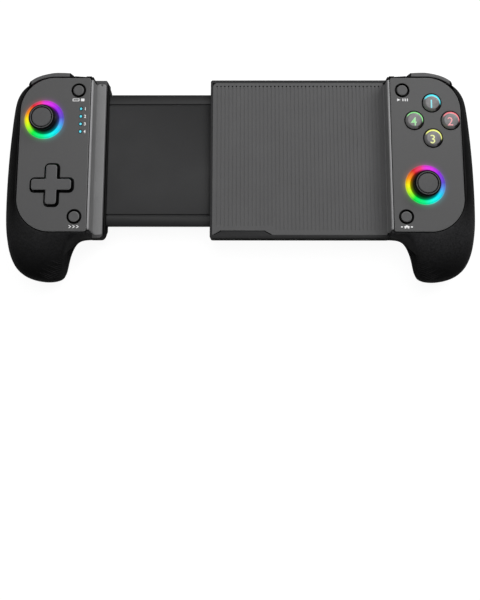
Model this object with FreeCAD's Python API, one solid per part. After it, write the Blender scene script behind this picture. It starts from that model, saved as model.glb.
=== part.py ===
import FreeCAD
import Part
import math
import os

V = FreeCAD.Vector
X_AXIS = V(1, 0, 0)
Y_AXIS = V(0, 1, 0)
Z_AXIS = V(0, 0, 1)
FOUR_WAYS = ((1, 0), (-1, 0), (0, 1), (0, -1))

# A telescopic gamepad that holds a phone between its two grip units.
# Millimetres. X runs from the left unit to the right one, Y away from the player, Z up out of the face.
# The origin is on the resting plane, at the middle of the outline. Each unit is drawn at +X and mirrored.

# Driving dimensions: the phone slot
SLOT_HALF = 82.4  # from the middle to each wall behind its liner, as opened here
FACE_Z = 31.5  # top of both face plates
BED_Z = 20.0  # top of the ribbed phone pad and of the left ledge
CLOSE_TRAVEL = 57.2  # how far the left unit slides in from here
OPEN_TRAVEL = 15.0  # how far it slides out
STOP_GAP = 1.2  # left between the collar and the tray when closed
RUNNER_HOLD = 21.9  # length of sliding plate still in the tray when fully open
FAR = 400.0  # reach of the blocks that only trim

# Fits and seams
RUN_GAP = 0.3  # between pieces that move past each other
FIT_GAP = 0.05  # radial clearance of pins and shafts in their holes
SEAT_GAP = 0.1  # between pieces fastened together

# Face plates
PLATE_IN = SLOT_HALF + 1.1  # inner edge of a face plate
PLATE_WIDTH = 38.5
PLATE_OUT = PLATE_IN + PLATE_WIDTH
PLATE_FRONT = -31.6
PLATE_BACK = 54.65
PLATE_CORNER = 18.5
PLATE_INNER_CORNER = 1.2
PLATE_THICK = 2.0
PLATE_CHAMFER = 0.5
PLATE_SEAM = 0.5
PLATE_LOW = FACE_Z - PLATE_THICK

# Grip shells
SHELL_IN = SLOT_HALF + 1.6  # inner wall of a grip shell
SHELL_WALL = 2.2
SHELL_FLOOR = 2.2
SHELL_RIM = 0.35  # how far the rim of a shell lies below the face
BELT_Z = 16.5  # height of the widest outline
INNER_WALL = 1.4
LINER_FACE = SLOT_HALF - 0.4  # where the liner of a wall meets the phone
LINER_SHORT = (0.8, 1.2)  # the liner ends this far inside the front and the back end of the phone pad

# Shoulder controls
BAY_IN = PLATE_IN + 10.0
BAY_WIDTH = 23.0
BAY_OUT = BAY_IN + BAY_WIDTH
BAY_FRONT = PLATE_BACK - 10.25
BAY_WALL = 1.6
BAY_FLOOR = 1.2
BAY_TOP = FACE_Z - 6.9  # the bay's walls stop under the buttons
SHOULDER_SPLIT = FACE_Z - 12.6  # between the trigger and the bumper
BUMPER_TOP = FACE_Z - 0.8
BUMPER_SEAM = 0.9
BUMPER_ROOM = 0.55  # free space round the bumper in the shell
BUMPER_SWING = 0.6  # how far its upper edge goes in
BLADE_INSET = 2.0
BLADE_MARGIN = 0.6  # the bumper's inner part stays this far inside its back line
TRIGGER_MARGIN = 0.85  # a trigger may reach this far behind the bumper
PIN_RADIUS = 1.0
BARREL_RADIUS = 2.1
BUMPER_PIN = (PLATE_BACK - 5.05, SHOULDER_SPLIT + 2.7)  # Y, Z
TRIGGER_PIN = (PLATE_BACK - 6.25, SHOULDER_SPLIT - 3.3)
# Back line of the bumper, as X from the bay's inner end and Y from the plate's back edge
SHOULDER_LINE = ((-0.4, 1.0), (1.8, 3.05), (11.0, 3.15), (16.8, 1.95), (21.0, 0.35), (24.2, -1.75),
                 (24.9, -3.35))
# Side view of a trigger's finger face and of its hollow inner side, as Y and Z from its pin
TRIGGER_FACE = ((5.1, 2.6), (7.8, 2.0), (9.2, 0.6), (9.8, -2.2), (9.5, -5.4), (8.0, -8.6),
                (5.6, -11.2), (3.2, -12.7), (1.6, -13.0), (0.9, -12.2), (1.6, -10.0), (2.1, -7.2),
                (1.7, -4.2), (0.2, -2.6))

# Face controls
SMALL_X = PLATE_IN + 6.6
SMALL_BACK = 47.4
SMALL_FRONT = -23.5
SMALL_RADIUS = 3.15
SMALL_HOLE = 3.95
SMALL_PROUD = 0.5
SMALL_TRAVEL = 0.8
STEM_LOW = FACE_Z - 6.9  # where the stem of a small button ends
DIAMOND = (PLATE_IN + 22.7, 30.1)
DIAMOND_REACH = 10.0
BUTTON_RADIUS = 4.95
BUTTON_HOLE = 5.35
BUTTON_PROUD = 2.0
BUTTON_CROWN = 8.8  # radius of the domed top
BUTTON_SKIRT = 3.0  # depth of a face button under the plate
BUTTON_TRAVEL = 1.2
FLANGE = 0.45  # how far the flange of a button reaches under the plate
DPAD = (-PLATE_IN - 19.4, -6.2)
DPAD_REACH = 11.1
DPAD_WIDTH = 6.4
DPAD_GAP = 0.95
DPAD_PROUD = 1.4
DPAD_LOW = FACE_Z - 2.6
DPAD_PIVOT_Z = FACE_Z - 5.0
DPAD_PIN = 0.75
DPAD_PRESS = 8.6  # from the middle to each contact
DPAD_PRONG_LOW = FACE_Z - 5.9
DPAD_MAT_TOP = FACE_Z - 7.1
LIGHTS_X = -PLATE_IN - 4.9
LIGHTS_Y = 36.8
LIGHT_PITCH = 4.32
LIGHT_COUNT = 4
LIGHT_SIZE = (1.5, 2.0)

# Thumbsticks
LEFT_STICK = (-PLATE_IN - 25.1, 30.6)
RIGHT_STICK = (PLATE_IN + 17.5, -6.0)
STICK_PIVOT_Z = FACE_Z - 8.0
STICK_TOP = FACE_Z + 6.8
CAP_RADIUS = 7.3
CAP_THICK = 2.4
NECK_RADIUS = 3.2
SHAFT_RADIUS = 1.5
DOME_RADIUS = 11.0
DOME_WALL = 1.3
DOME_EDGE = 3.8  # height of the dome's rim over the pivot
RING_OUT = 10.5
RING_IN = 8.3
RING_FLANGE = 11.5
RING_PROUD = 0.4
PRESS_TRAVEL = 0.5
HOUSING_HALF = 6.2
GIMBAL_HALF = 4.4
GIMBAL_THICK = 2.7
GIMBAL_PIN = 1.0
ROCKER_PIN = 0.9
SHAFT_TOP = STICK_TOP - 2.0

# Tray, sliding plate and ledge
SLIDE_Y = 11.3  # middle of the tray and of the sliding plate
LEDGE_END = -SLOT_HALF + 6.1
LEDGE_CORNERS = (2.6, 0.8)  # radii of its front and back corner beside the sliding plate
COLLAR_THICK = 1.0
TRAY_LEFT = LEDGE_END + COLLAR_THICK + CLOSE_TRAVEL + STOP_GAP
LEDGE_DROP = 0.3  # the ledge lies this far below its pad strip
PAD_STRIP_ENDS = (-LINER_FACE + 0.15, LEDGE_END - 0.6)  # X of the pad strip's long sides
TRAY_HALF = 45.4
TRAY_BOTTOM = BED_Z - 12.0
COVER_THICK = 1.4
TRAY_WALL = 1.8
TRAY_CORNER = 1.2
DECK_TOP = BED_Z - 2.0
DECK_THICK = 1.8
DECK_LOW = DECK_TOP - DECK_THICK
REAR_RIM = 1.65
FRONT_RIM = 2.1
RUNNER_Z = BED_Z - 4.2  # top of the sliding plate
RUNNER_THICK = 6.0
RUNNER_HALF = TRAY_HALF - 7.5
RUNNER_END = TRAY_LEFT + OPEN_TRAVEL + RUNNER_HOLD
RUNNER_ROOT = -SHELL_IN - 16.0  # inside the left unit
ROOT_HALF = 30.0  # half width of the part inside the unit
ROOT_SCREWS = ROOT_HALF - 3.5
RAIL_WIDTH = 6.0
GROOVE = 0.8
STRIP_THICK = 2.0  # guide strips on both sides of the sliding plate
LEAF = 0.35
LEAF_HALF = 9.0
LEAF_PLACES = (TRAY_LEFT + 27.0, SHELL_IN - 32.0)
TONGUE_END = SHELL_IN + 15.0
TONGUE_HALF = 30.0
TONGUE_THICK = 3.0

# Charging socket in the front wall of the tray
PORT_X = SHELL_IN - 16.0
PORT_Z = TRAY_BOTTOM + 4.4
PORT_WIDTH = 9.0
PORT_HEIGHT = 3.3
PORT_DEPTH = 7.2
PORT_SHEET = 0.3

# Ribbed pad
RIB_PITCH = 2.2
RIB_WIDTH = 1.3
RIB_HEIGHT = 0.55
PAD_LEFT = TRAY_LEFT + 1.3
PAD_RIGHT = LINER_FACE - 0.3
PAD_MARGIN = 2.3  # plain border round the ribs
TAB_FROM = TRAY_LEFT + 2.0
TAB_TO = TAB_FROM + 32.5
TAB_DEPTH = 2.0
TAB_BEVEL = 4.5

# Boards and fasteners
BOARD_Z = FACE_Z - 12.5
BOARD_THICK = 1.4
BOARD_TOP = BOARD_Z + BOARD_THICK
BOARD = (SHELL_IN + 2.8, SHELL_IN + 28.0, -21.0, 42.4)
BOARD_EARS = (SHELL_IN + 7.4, SHELL_IN + 10.6)  # outer edges of the ears at the back and at the front
POSTS = ((SHELL_IN + 25.5, -18.0), (SHELL_IN + 25.5, 39.8), (SHELL_IN + 19.4, 39.8))
SCREW_SPOTS = ((SHELL_IN + 35.2, 40.0), (SHELL_IN + 34.6, 12.0), (SHELL_IN + 31.3, -22.3),
               (SHELL_IN + 15.5, -27.0))
TRAY_SCREWS_X = (TRAY_LEFT + 5.4, sum(LEAF_PLACES) / 2, SHELL_IN - 6.0)
TONGUE_TOP = BOARD_Z - 2.0
TONGUE_SCREWS = (SHELL_IN + 10.5, TONGUE_HALF - 8.0)  # X, and distance to both sides of the middle
BOSS_RADIUS = 2.3
BOSS_JOINT_Z = FACE_Z - 10.9
SCREW_RADIUS = 1.0
SCREW_ROOM = 0.15
SCREW_HEAD = 1.9
SCREW_HEAD_HIGH = 1.3
SCREW_SEAT_Z = BOSS_JOINT_Z - 6.6
SMALL_SCREW = 0.8
SMALL_HEAD = 1.3
POST_RADIUS = 2.4
POST_SCREW = 5.5  # how deep the screws of the slide go into their posts
BATTERY = (SHELL_IN + 2.6, SHELL_IN + 22.0, -12.5, 35.0)
BATTERY_TOP = SHELL_FLOOR + 6.6

# Widest outline of the right unit, from the slot round the back, the outer side and the front grip.
# X is from the inner wall of the shell.
BELT_LINE = (
    (-7.0, 55.1), (8.0, 55.1), (19.5, 55.1), (30.2, 54.6), (38.3, 51.2), (42.3, 45.6), (44.1, 37.3),
    (45.2, 26.5), (46.35, 6.1), (46.55, -17.5), (45.45, -34.5), (42.4, -45.8), (37.5, -53.0),
    (28.6, -57.4), (19.5, -58.02), (15.5, -56.7), (13.1, -50.2), (10.5, -40.1), (7.3, -35.5),
    (2.2, -34.1), (-7.0, -34.1),
)
# Where the same points lie on the rim round the face plate, and on the flat land under the unit
RIM_LINE = (
    (-7.0, 55.7), (8.0, 55.7), (21.2, 55.7), (28.7, 53.5), (34.1, 49.3), (37.7, 43.5), (39.1, 36.6),
    (39.2, 26.5), (39.2, 6.1), (39.0, -13.5), (37.4, -20.5), (33.3, -26.9), (28.1, -30.7),
    (22.2, -32.3), (17.0, -32.4), (13.0, -32.4), (10.2, -32.4), (7.4, -32.4), (4.0, -32.4),
    (0.0, -32.4), (-7.0, -32.4),
)
LAND_LINE = (
    (6.0, 37.0), (12.0, 37.4), (19.5, 37.6), (25.4, 36.4), (29.4, 33.8), (32.0, 30.4), (33.4, 26.0),
    (34.4, 19.0), (35.4, 4.0), (36.2, -15.0), (34.6, -28.6), (31.4, -36.6), (27.6, -41.6),
    (23.4, -44.4), (19.0, -45.2), (16.2, -44.0), (14.6, -40.8), (13.0, -37.0), (11.0, -34.4),
    (8.4, -33.0), (6.0, -32.4),
)
# Heights of the sections between land, belt and rim, as shares of the way, and how sharply the form turns
LOWER_STEPS = (0.0, 0.03, 0.07, 0.12, 0.19, 0.28, 0.4, 0.56, 0.76)
LOWER_TURN = 4.0
UPPER_STEPS = (0.2, 0.38, 0.54, 0.67, 0.78, 0.87, 0.94, 1.0)
UPPER_TURN = 2.6


# General forms

def box(x0, x1, y0, y1, z0, z1):
    return Part.makeBox(x1 - x0, y1 - y0, z1 - z0, V(x0, y0, z0))


def cylinder(x, y, z0, z1, radius):
    return Part.makeCylinder(radius, z1 - z0, V(x, y, z0))


def pin_x(x0, x1, y, z, radius):
    return Part.makeCylinder(radius, x1 - x0, V(x0, y, z), X_AXIS)


def pin_y(x, y0, y1, z, radius):
    return Part.makeCylinder(radius, y1 - y0, V(x, y0, z), Y_AXIS)


def polygon_face(points):
    return Part.Face(Part.makePolygon(points + [points[0]]))


def plan_prism(points, z0, z1):
    return polygon_face([V(x, y, z0) for x, y in points]).extrude(V(0, 0, z1 - z0))


def side_prism(points, x0, x1):
    """Points are (Y, Z) pairs."""
    return polygon_face([V(x0, y, z) for y, z in points]).extrude(V(x1 - x0, 0, 0))


def front_prism(points, y0, y1):
    """Points are (X, Z) pairs."""
    return polygon_face([V(x, y0, z) for x, z in points]).extrude(V(0, y1 - y0, 0))


def revolved(points, x, y):
    """Points are (radius, Z) pairs about the upright axis through (x, y)."""
    face = polygon_face([V(x + r, y, z) for r, z in points])
    return face.revolve(V(x, y, 0), Z_AXIS, 360)


def mirrored(shape):
    return shape.mirror(V(0, 0, 0), X_AXIS)


def fused(shapes):
    return shapes[0].fuse(shapes[1:]).removeSplitter()


def edges_along(shape, axis):
    return [e for e in shape.Edges if abs(e.tangentAt(e.FirstParameter).dot(axis)) > 0.9]


def upright_edges(shape):
    return edges_along(shape, Z_AXIS)


def edges_at(shape, z):
    return [e for e in shape.Edges if all(abs(v.Z - z) < 0.01 for v in e.Vertexes)]


def rounded_box(x0, x1, y0, y1, z0, z1, radius):
    block = box(x0, x1, y0, y1, z0, z1)
    return block.makeFillet(radius, upright_edges(block))


# Grip shells

def section_wire(z, share, target, inset):
    """One closed section: a smooth line round the unit and a straight one across its slot side."""
    line = [(SHELL_IN + bx + (tx - bx) * share, by + (ty - by) * share)
            for (bx, by), (tx, ty) in zip(BELT_LINE, target)]
    moved = []
    for i, (x, y) in enumerate(line):
        before = line[max(i - 1, 0)]
        after = line[min(i + 1, len(line) - 1)]
        dx, dy = after[0] - before[0], after[1] - before[1]
        length = math.hypot(dx, dy)
        moved.append(V(x + inset * dy / length, y - inset * dx / length, z))
    curve = Part.BSplineCurve()
    curve.interpolate(moved)
    return Part.Wire([curve.toShape(), Part.makeLine(moved[-1], moved[0])])


def unit_form(inset, z_low, z_high, x_low=SHELL_IN):
    """The outer form of a unit, or its hollow when inset, between two heights and beyond an X."""
    rise = FACE_Z - SHELL_RIM - BELT_Z
    levels = [(step * BELT_Z, (1 - step) ** LOWER_TURN, LAND_LINE) for step in LOWER_STEPS]
    levels += [(BELT_Z, 0.0, RIM_LINE)]
    levels += [(BELT_Z + step * rise, step ** UPPER_TURN, RIM_LINE) for step in UPPER_STEPS]
    wires = [section_wire(z, share, target, inset) for z, share, target in levels]
    form = Part.makeLoft(wires, True, True)
    return form.common(box(x_low, FAR, -FAR, FAR, z_low, z_high))


def plate_outline(margin, z0, z1):
    """The face plate's outline grown by a margin: square inner corners and round outer ones."""
    x0, x1 = PLATE_IN - margin, PLATE_OUT + margin
    y0, y1 = PLATE_FRONT - margin, PLATE_BACK + margin
    block = box(x0, x1, y0, y1, z0, z1)
    outer = [e for e in upright_edges(block) if e.CenterOfMass.x > (x0 + x1) / 2]
    return block.makeFillet(PLATE_CORNER + margin, outer)


def shoulder_plan(margin, z0, z1):
    """Plan of bumper and trigger: the back line of the unit, from a bevelled inner end outwards."""
    back = [(BAY_IN + x, PLATE_BACK + y + margin) for x, y in SHOULDER_LINE]
    back[0] = (back[0][0] - margin, back[0][1])
    back[-1] = (back[-1][0] + margin, back[-1][1])
    front = [(back[-1][0], BAY_FRONT - 4), (back[0][0], BAY_FRONT - 4)]
    return plan_prism(back + front, z0, z1)


def bumper_form(margin):
    """The bumper's visible bar: what the shoulder plan leaves outside the face plate and its seam."""
    low, high = SHOULDER_SPLIT + 0.5 - margin, BUMPER_TOP + margin * 4
    bar = shoulder_plan(margin, low, high)
    bar = bar.cut(plate_outline(BUMPER_SEAM - margin, low - 1, high + 1))
    inward = BUMPER_PIN[0] - 0.3 - margin * 2.5
    return bar.cut(box(0, FAR, 0, inward, low - 1, high + 1))


def shell_bosses():
    parts = [cylinder(x, y, 0.5, BOSS_JOINT_Z, BOSS_RADIUS) for x, y in SCREW_SPOTS]
    parts += [cylinder(x, y, 0.5, BOARD_Z, 1.8) for x, y in POSTS]
    return parts


def bay_walls():
    """Front wall and the two cheeks of the shoulder bay. The cheeks carry the hinge pins."""
    z0, z1 = BAY_FLOOR, BAY_TOP
    x0, x1 = BAY_IN - BAY_WALL, BAY_OUT + BAY_WALL
    front = box(x0, x1, BAY_FRONT - BAY_WALL, BAY_FRONT, z0, z1)
    inner = box(x0, BAY_IN, BAY_FRONT - BAY_WALL, PLATE_BACK, z0, z1)
    outer = box(BAY_OUT, x1, BAY_FRONT - BAY_WALL, PLATE_BACK, z0, z1)
    return [front, inner, outer]


def wall_ends():
    """Both ends of the slot wall, which stand beside the ends of its liner."""
    form = unit_form(0.0, BED_Z + SEAT_GAP, FACE_Z - 0.6, LINER_FACE + 0.15)
    room = fused([box(PLATE_IN - 0.2, FAR, -FAR, FAR, PLATE_LOW - SEAT_GAP, FAR),
                  box(SHELL_IN + 0.5, FAR, -FAR, FAR, 0, FAR)])
    y0, y1 = liner_ends()
    return form.cut(room).cut(box(0, FAR, y0 - SEAT_GAP, y1 + SEAT_GAP, 0, FAR))


def back_shell():
    form = unit_form(0.0, 0.0, FACE_Z)
    hollow = unit_form(SHELL_WALL, SHELL_FLOOR, PLATE_LOW, SHELL_IN + INNER_WALL)
    seat = plate_outline(PLATE_SEAM, PLATE_LOW, FACE_Z + 5)
    throat = plate_outline(-2.0, PLATE_LOW - 4, FACE_Z + 5)
    shell = form.cut(hollow).cut(seat).cut(throat)
    inside = fused(shell_bosses() + bay_walls()).common(form)
    shell = shell.fuse([inside, wall_ends()])
    bay = box(BAY_IN, BAY_OUT, BAY_FRONT, FAR, BAY_FLOOR, PLATE_LOW)
    relief = bumper_form(BUMPER_ROOM)
    shell = shell.cut(bay).cut(relief).cut(relief.translated(V(0, -BUMPER_SWING, 0)))
    for x, y in SCREW_SPOTS:
        shell = shell.cut(cylinder(x, y, -1, SCREW_SEAT_Z, SCREW_HEAD + 0.2))
        shell = shell.cut(cylinder(x, y, 0, FACE_Z, SCREW_RADIUS + SCREW_ROOM))
        shell = shell.cut(cylinder(x, y, BOSS_JOINT_Z, FACE_Z - 1, BOSS_RADIUS + SEAT_GAP))
    for y, z in (BUMPER_PIN, TRIGGER_PIN):
        shell = shell.cut(pin_x(BAY_IN - BAY_WALL, BAY_OUT + BAY_WALL, y, z, PIN_RADIUS))
    solids = sorted(shell.Solids, key=lambda s: s.Volume)
    return solids[-1]


def face_plate_blank():
    z0, z1 = PLATE_LOW, FACE_Z
    plate = plate_outline(0, z0, z1)
    inner = [e for e in upright_edges(plate) if e.CenterOfMass.x < PLATE_IN + 1]
    plate = plate.makeFillet(PLATE_INNER_CORNER, inner)
    plate = plate.makeChamfer(PLATE_CHAMFER, edges_at(plate, z1))
    bosses = [cylinder(x, y, BOSS_JOINT_Z, z0 + 0.5, BOSS_RADIUS) for x, y in SCREW_SPOTS]
    plate = fused([plate] + bosses)
    for x, y in SCREW_SPOTS:
        plate = plate.cut(cylinder(x, y, 0, z0, SCREW_RADIUS))
    for y in (SMALL_BACK, SMALL_FRONT):
        plate = plate.cut(cylinder(SMALL_X, y, z0 - 1, z1 + 1, SMALL_HOLE))
    return plate


def unit_screws():
    screws = []
    for x, y in SCREW_SPOTS:
        head = cylinder(x, y, SCREW_SEAT_Z - 1.8, SCREW_SEAT_Z, SCREW_HEAD)
        slot = box(x - SCREW_HEAD, x + SCREW_HEAD, y - 0.25, y + 0.25, SCREW_SEAT_Z - 2, SCREW_SEAT_Z - 1.2)
        shaft = cylinder(x, y, SCREW_SEAT_Z, PLATE_LOW - 3, SCREW_RADIUS)
        screws.append(fused([head, shaft]).cut(slot))
    return Part.makeCompound(screws)


def liner_ends():
    y0, y1 = tray_pad_ends()
    return y0 + LINER_SHORT[0], y1 - LINER_SHORT[1]


def wall_liner():
    """Soft strip on the slot wall, with a small hollow round at its foot and a rolled top edge."""
    face, top, low = LINER_FACE, FACE_Z - 0.45, PLATE_LOW - SEAT_GAP
    seam = PLATE_IN - 0.2
    points = [(SHELL_IN, BED_Z), (SHELL_IN, low), (seam, low), (seam, top - 0.15), (seam - 0.35, top),
              (face + 0.45, top - 0.15), (face + 0.1, top - 0.7), (face, top - 1.5), (face, BED_Z + 1.0),
              (face - 0.1, BED_Z + 0.4), (face - 0.4, BED_Z)]
    return front_prism(points, *liner_ends())


# Tray and slide

def tray_pad_ends():
    """Front and back end of the bed between the two rims of the tray."""
    return SLIDE_Y - TRAY_HALF + FRONT_RIM, SLIDE_Y + TRAY_HALF - REAR_RIM


def runner_y(side):
    return SLIDE_Y + side * RUNNER_HALF


def tab_form(margin, y, z0, z1):
    """Bevelled tab of the front rim that reaches into the pad, or with a margin the notch for it."""
    points = [(TAB_FROM - margin, y - 0.5), (TAB_FROM + TAB_BEVEL - margin, y + TAB_DEPTH + margin),
              (TAB_TO - TAB_BEVEL + margin, y + TAB_DEPTH + margin), (TAB_TO + margin, y - 0.5)]
    return plan_prism(points, z0, z1)


def tray_shell():
    y0, y1 = SLIDE_Y - TRAY_HALF, SLIDE_Y + TRAY_HALF
    outer = rounded_box(TRAY_LEFT, SHELL_IN, y0, y1, TRAY_BOTTOM, BED_Z, TRAY_CORNER)
    bed_front, bed_back = tray_pad_ends()
    well = box(PAD_LEFT - SEAT_GAP, SHELL_IN + 1, bed_front, bed_back, DECK_TOP, BED_Z + 1)
    tab = tab_form(0.0, bed_front, DECK_TOP - 0.3, BED_Z - 0.15)
    hollow = box(TRAY_LEFT - 1, SHELL_IN - 3, y0 + TRAY_WALL, y1 - TRAY_WALL,
                 TRAY_BOTTOM - 1, DECK_LOW)
    # The mouth end keeps a frame round the sliding plate
    frame_front = box(TRAY_LEFT, TRAY_LEFT + 1.6, y0 + 1, runner_y(-1) - RUN_GAP,
                      TRAY_BOTTOM + COVER_THICK, DECK_TOP - 1)
    frame_back = box(TRAY_LEFT, TRAY_LEFT + 1.6, runner_y(1) + RUN_GAP, y1 - 1,
                     TRAY_BOTTOM + COVER_THICK, DECK_TOP - 1)
    tongue = box(SHELL_IN - 2, TONGUE_END, SLIDE_Y - TONGUE_HALF, SLIDE_Y + TONGUE_HALF,
                 TONGUE_TOP - TONGUE_THICK, TONGUE_TOP)
    bosses = [cylinder(x, y, TRAY_BOTTOM + COVER_THICK, DECK_TOP - 1, 1.7) for x, y in tray_screw_spots()]
    shell = fused([outer.cut(well).cut(hollow), tab, frame_front, frame_back, tongue] + bosses)
    half_wide, half_high = PORT_WIDTH / 2 + SEAT_GAP, PORT_HEIGHT / 2 + SEAT_GAP
    port = box(PORT_X - half_wide, PORT_X + half_wide, y0 - 1, y0 + TRAY_WALL + 1,
               PORT_Z - half_high, PORT_Z + half_high)
    shell = shell.cut(port)
    for x, y in tray_screw_spots():
        shell = shell.cut(cylinder(x, y, TRAY_BOTTOM, DECK_LOW, SMALL_SCREW))
    for x, y in tongue_spots():
        shell = shell.cut(cylinder(x, y, 0, BOARD_Z, SCREW_RADIUS + SCREW_ROOM))
    return shell


def tray_screw_spots():
    edge = TRAY_HALF - TRAY_WALL - 1.6
    return [(x, SLIDE_Y + side * edge) for x in TRAY_SCREWS_X for side in (-1, 1)]


def tongue_spots():
    x, reach = TONGUE_SCREWS
    return [(x, SLIDE_Y - reach), (x, SLIDE_Y + reach)]


def tray_bottom_cover():
    y0, y1 = SLIDE_Y - TRAY_HALF + TRAY_WALL + SEAT_GAP, SLIDE_Y + TRAY_HALF - TRAY_WALL - SEAT_GAP
    cover = box(TRAY_LEFT, SHELL_IN - 3 - SEAT_GAP, y0, y1, TRAY_BOTTOM, TRAY_BOTTOM + COVER_THICK)
    seat = TRAY_BOTTOM + COVER_THICK - 0.5
    for x, y in tray_screw_spots():
        cover = cover.cut(cylinder(x, y, TRAY_BOTTOM - 1, seat + 5, SMALL_SCREW + SCREW_ROOM))
        cover = cover.cut(cylinder(x, y, TRAY_BOTTOM - 1, seat, SMALL_HEAD + SEAT_GAP))
    return cover


def tray_screws():
    screws = []
    seat = TRAY_BOTTOM + COVER_THICK - 0.5
    for x, y in tray_screw_spots():
        head = cylinder(x, y, TRAY_BOTTOM + 0.1, seat, SMALL_HEAD)
        shaft = cylinder(x, y, seat, DECK_LOW - 0.6, SMALL_SCREW)
        screws.append(fused([head, shaft]))
    return Part.makeCompound(screws)


def tongue_screws():
    screws = []
    for x, y in tongue_spots():
        head = cylinder(x, y, TONGUE_TOP, TONGUE_TOP + SCREW_HEAD_HIGH, SCREW_HEAD)
        shaft = cylinder(x, y, TONGUE_TOP - TONGUE_THICK - POST_SCREW, TONGUE_TOP, SCREW_RADIUS)
        screws.append(fused([head, shaft]))
    return Part.makeCompound(screws)


def ribbed_phone_pad():
    """Pad with grooves between its ribs and a plain border, notched for the tab of the rim."""
    front, back = tray_pad_ends()
    y0, y1 = front + SEAT_GAP, back - SEAT_GAP
    pad = rounded_box(PAD_LEFT, PAD_RIGHT, y0, y1, DECK_TOP, BED_Z, 2.6)
    count = int((PAD_RIGHT - PAD_LEFT - 2 * PAD_MARGIN) / RIB_PITCH)
    grooves = []
    for i in range(count):
        x = PAD_LEFT + PAD_MARGIN + i * RIB_PITCH
        grooves.append(box(x, x + RIB_PITCH - RIB_WIDTH, y0 + PAD_MARGIN, y1 - PAD_MARGIN,
                           BED_Z - RIB_HEIGHT, BED_Z + 1))
    pad = pad.cut(grooves)
    return pad.cut(tab_form(0.5, front, DECK_TOP - 1, BED_Z + 1))


def guide_strips():
    z0, z1 = TRAY_BOTTOM + COVER_THICK, DECK_LOW
    left = TRAY_LEFT + 1.7
    y_front, y_back = runner_y(-1) - RUN_GAP, runner_y(1) + RUN_GAP
    front = box(left, PORT_X - PORT_WIDTH / 2 - 2, y_front - STRIP_THICK, y_front, z0, z1)
    back = box(left, SHELL_IN - 6, y_back, y_back + STRIP_THICK, z0, z1)
    return Part.makeCompound([front, back])


def brake_springs():
    """Bowed leaves between the tray wall and the rear guide strip, which press it on the plate."""
    wall = SLIDE_Y + TRAY_HALF - TRAY_WALL
    strip = runner_y(1) + RUN_GAP + STRIP_THICK + 0.02
    z0, z1 = TRAY_BOTTOM + COVER_THICK + 1.2, DECK_LOW - 1.0
    springs = []
    for middle in LEAF_PLACES:
        x0, x1 = middle - LEAF_HALF, middle + LEAF_HALF
        low = Part.Arc(V(x0, wall, z0), V(middle, strip, z0), V(x1, wall, z0))
        high = Part.Arc(V(x1 - LEAF, wall, z0), V(middle, strip + LEAF, z0), V(x0 + LEAF, wall, z0))
        right_end = Part.makeLine(V(x1, wall, z0), V(x1 - LEAF, wall, z0))
        left_end = Part.makeLine(V(x0 + LEAF, wall, z0), V(x0, wall, z0))
        wire = Part.Wire([low.toShape(), right_end, high.toShape(), left_end])
        springs.append(Part.Face(wire).extrude(V(0, 0, z1 - z0)))
    return Part.makeCompound(springs)


def charging_port():
    y0 = SLIDE_Y - TRAY_HALF + 0.2
    z0, z1 = PORT_Z - PORT_HEIGHT / 2, PORT_Z + PORT_HEIGHT / 2
    x0, x1 = PORT_X - PORT_WIDTH / 2, PORT_X + PORT_WIDTH / 2
    can = box(x0, x1, y0, y0 + PORT_DEPTH, z0, z1)
    can = can.makeFillet(PORT_HEIGHT / 2 - 0.15, edges_along(can, Y_AXIS))
    mouth = box(x0 + PORT_SHEET, x1 - PORT_SHEET, y0 - 1, y0 + PORT_DEPTH - 1.2,
                z0 + PORT_SHEET, z1 - PORT_SHEET)
    mouth = mouth.makeFillet(PORT_HEIGHT / 2 - 0.5, edges_along(mouth, Y_AXIS))
    tongue = box(PORT_X - 3.3, PORT_X + 3.3, y0 + 0.8, y0 + PORT_DEPTH - 1, PORT_Z - 0.35, PORT_Z + 0.35)
    foot = box(x0 + 1, x1 - 1, y0 + 2, y0 + PORT_DEPTH - 0.5, TRAY_BOTTOM + COVER_THICK, z0 + 0.4)
    return fused([can.cut(mouth), tongue, foot])


def sliding_plate():
    z0 = RUNNER_Z - RUNNER_THICK
    plate = fused([box(-SHELL_IN - INNER_WALL, RUNNER_END, runner_y(-1), runner_y(1), z0, RUNNER_Z),
                   box(RUNNER_ROOT, 0, SLIDE_Y - ROOT_HALF, SLIDE_Y + ROOT_HALF, z0, RUNNER_Z)])
    for side in (-1, 1):
        y = runner_y(side) - side * RAIL_WIDTH
        groove = box(LEDGE_END, RUNNER_END + 1, y - GROOVE / 2, y + GROOVE / 2,
                     RUNNER_Z - 0.7, RUNNER_Z + 1)
        plate = plate.cut(groove)
    # Hollow underside, which leaves the rails and a web
    hollow = box(LEDGE_END + 6, RUNNER_END - 6, runner_y(-1) + RAIL_WIDTH + 1, runner_y(1) - RAIL_WIDTH - 1,
                 z0 - 1, RUNNER_Z - 2.2)
    plate = plate.cut(hollow)
    for x, y in runner_screw_spots():
        plate = plate.cut(cylinder(x, y, z0 - 1, RUNNER_Z + 1, SCREW_RADIUS + SCREW_ROOM))
    return plate


def runner_screw_spots():
    return [(RUNNER_ROOT + 5.0, SLIDE_Y + side * ROOT_SCREWS) for side in (-1, 1)]


def plate_screws():
    screws = []
    for x, y in runner_screw_spots():
        head = cylinder(x, y, RUNNER_Z, RUNNER_Z + SCREW_HEAD_HIGH, SCREW_HEAD)
        shaft = cylinder(x, y, RUNNER_Z - RUNNER_THICK - POST_SCREW, RUNNER_Z, SCREW_RADIUS)
        screws.append(fused([head, shaft]))
    return Part.makeCompound(screws)


def runner_passage(margin, x0, x1):
    return box(x0, x1, runner_y(-1) - margin, runner_y(1) + margin,
               RUNNER_Z - RUNNER_THICK - margin, RUNNER_Z + margin)


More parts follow.
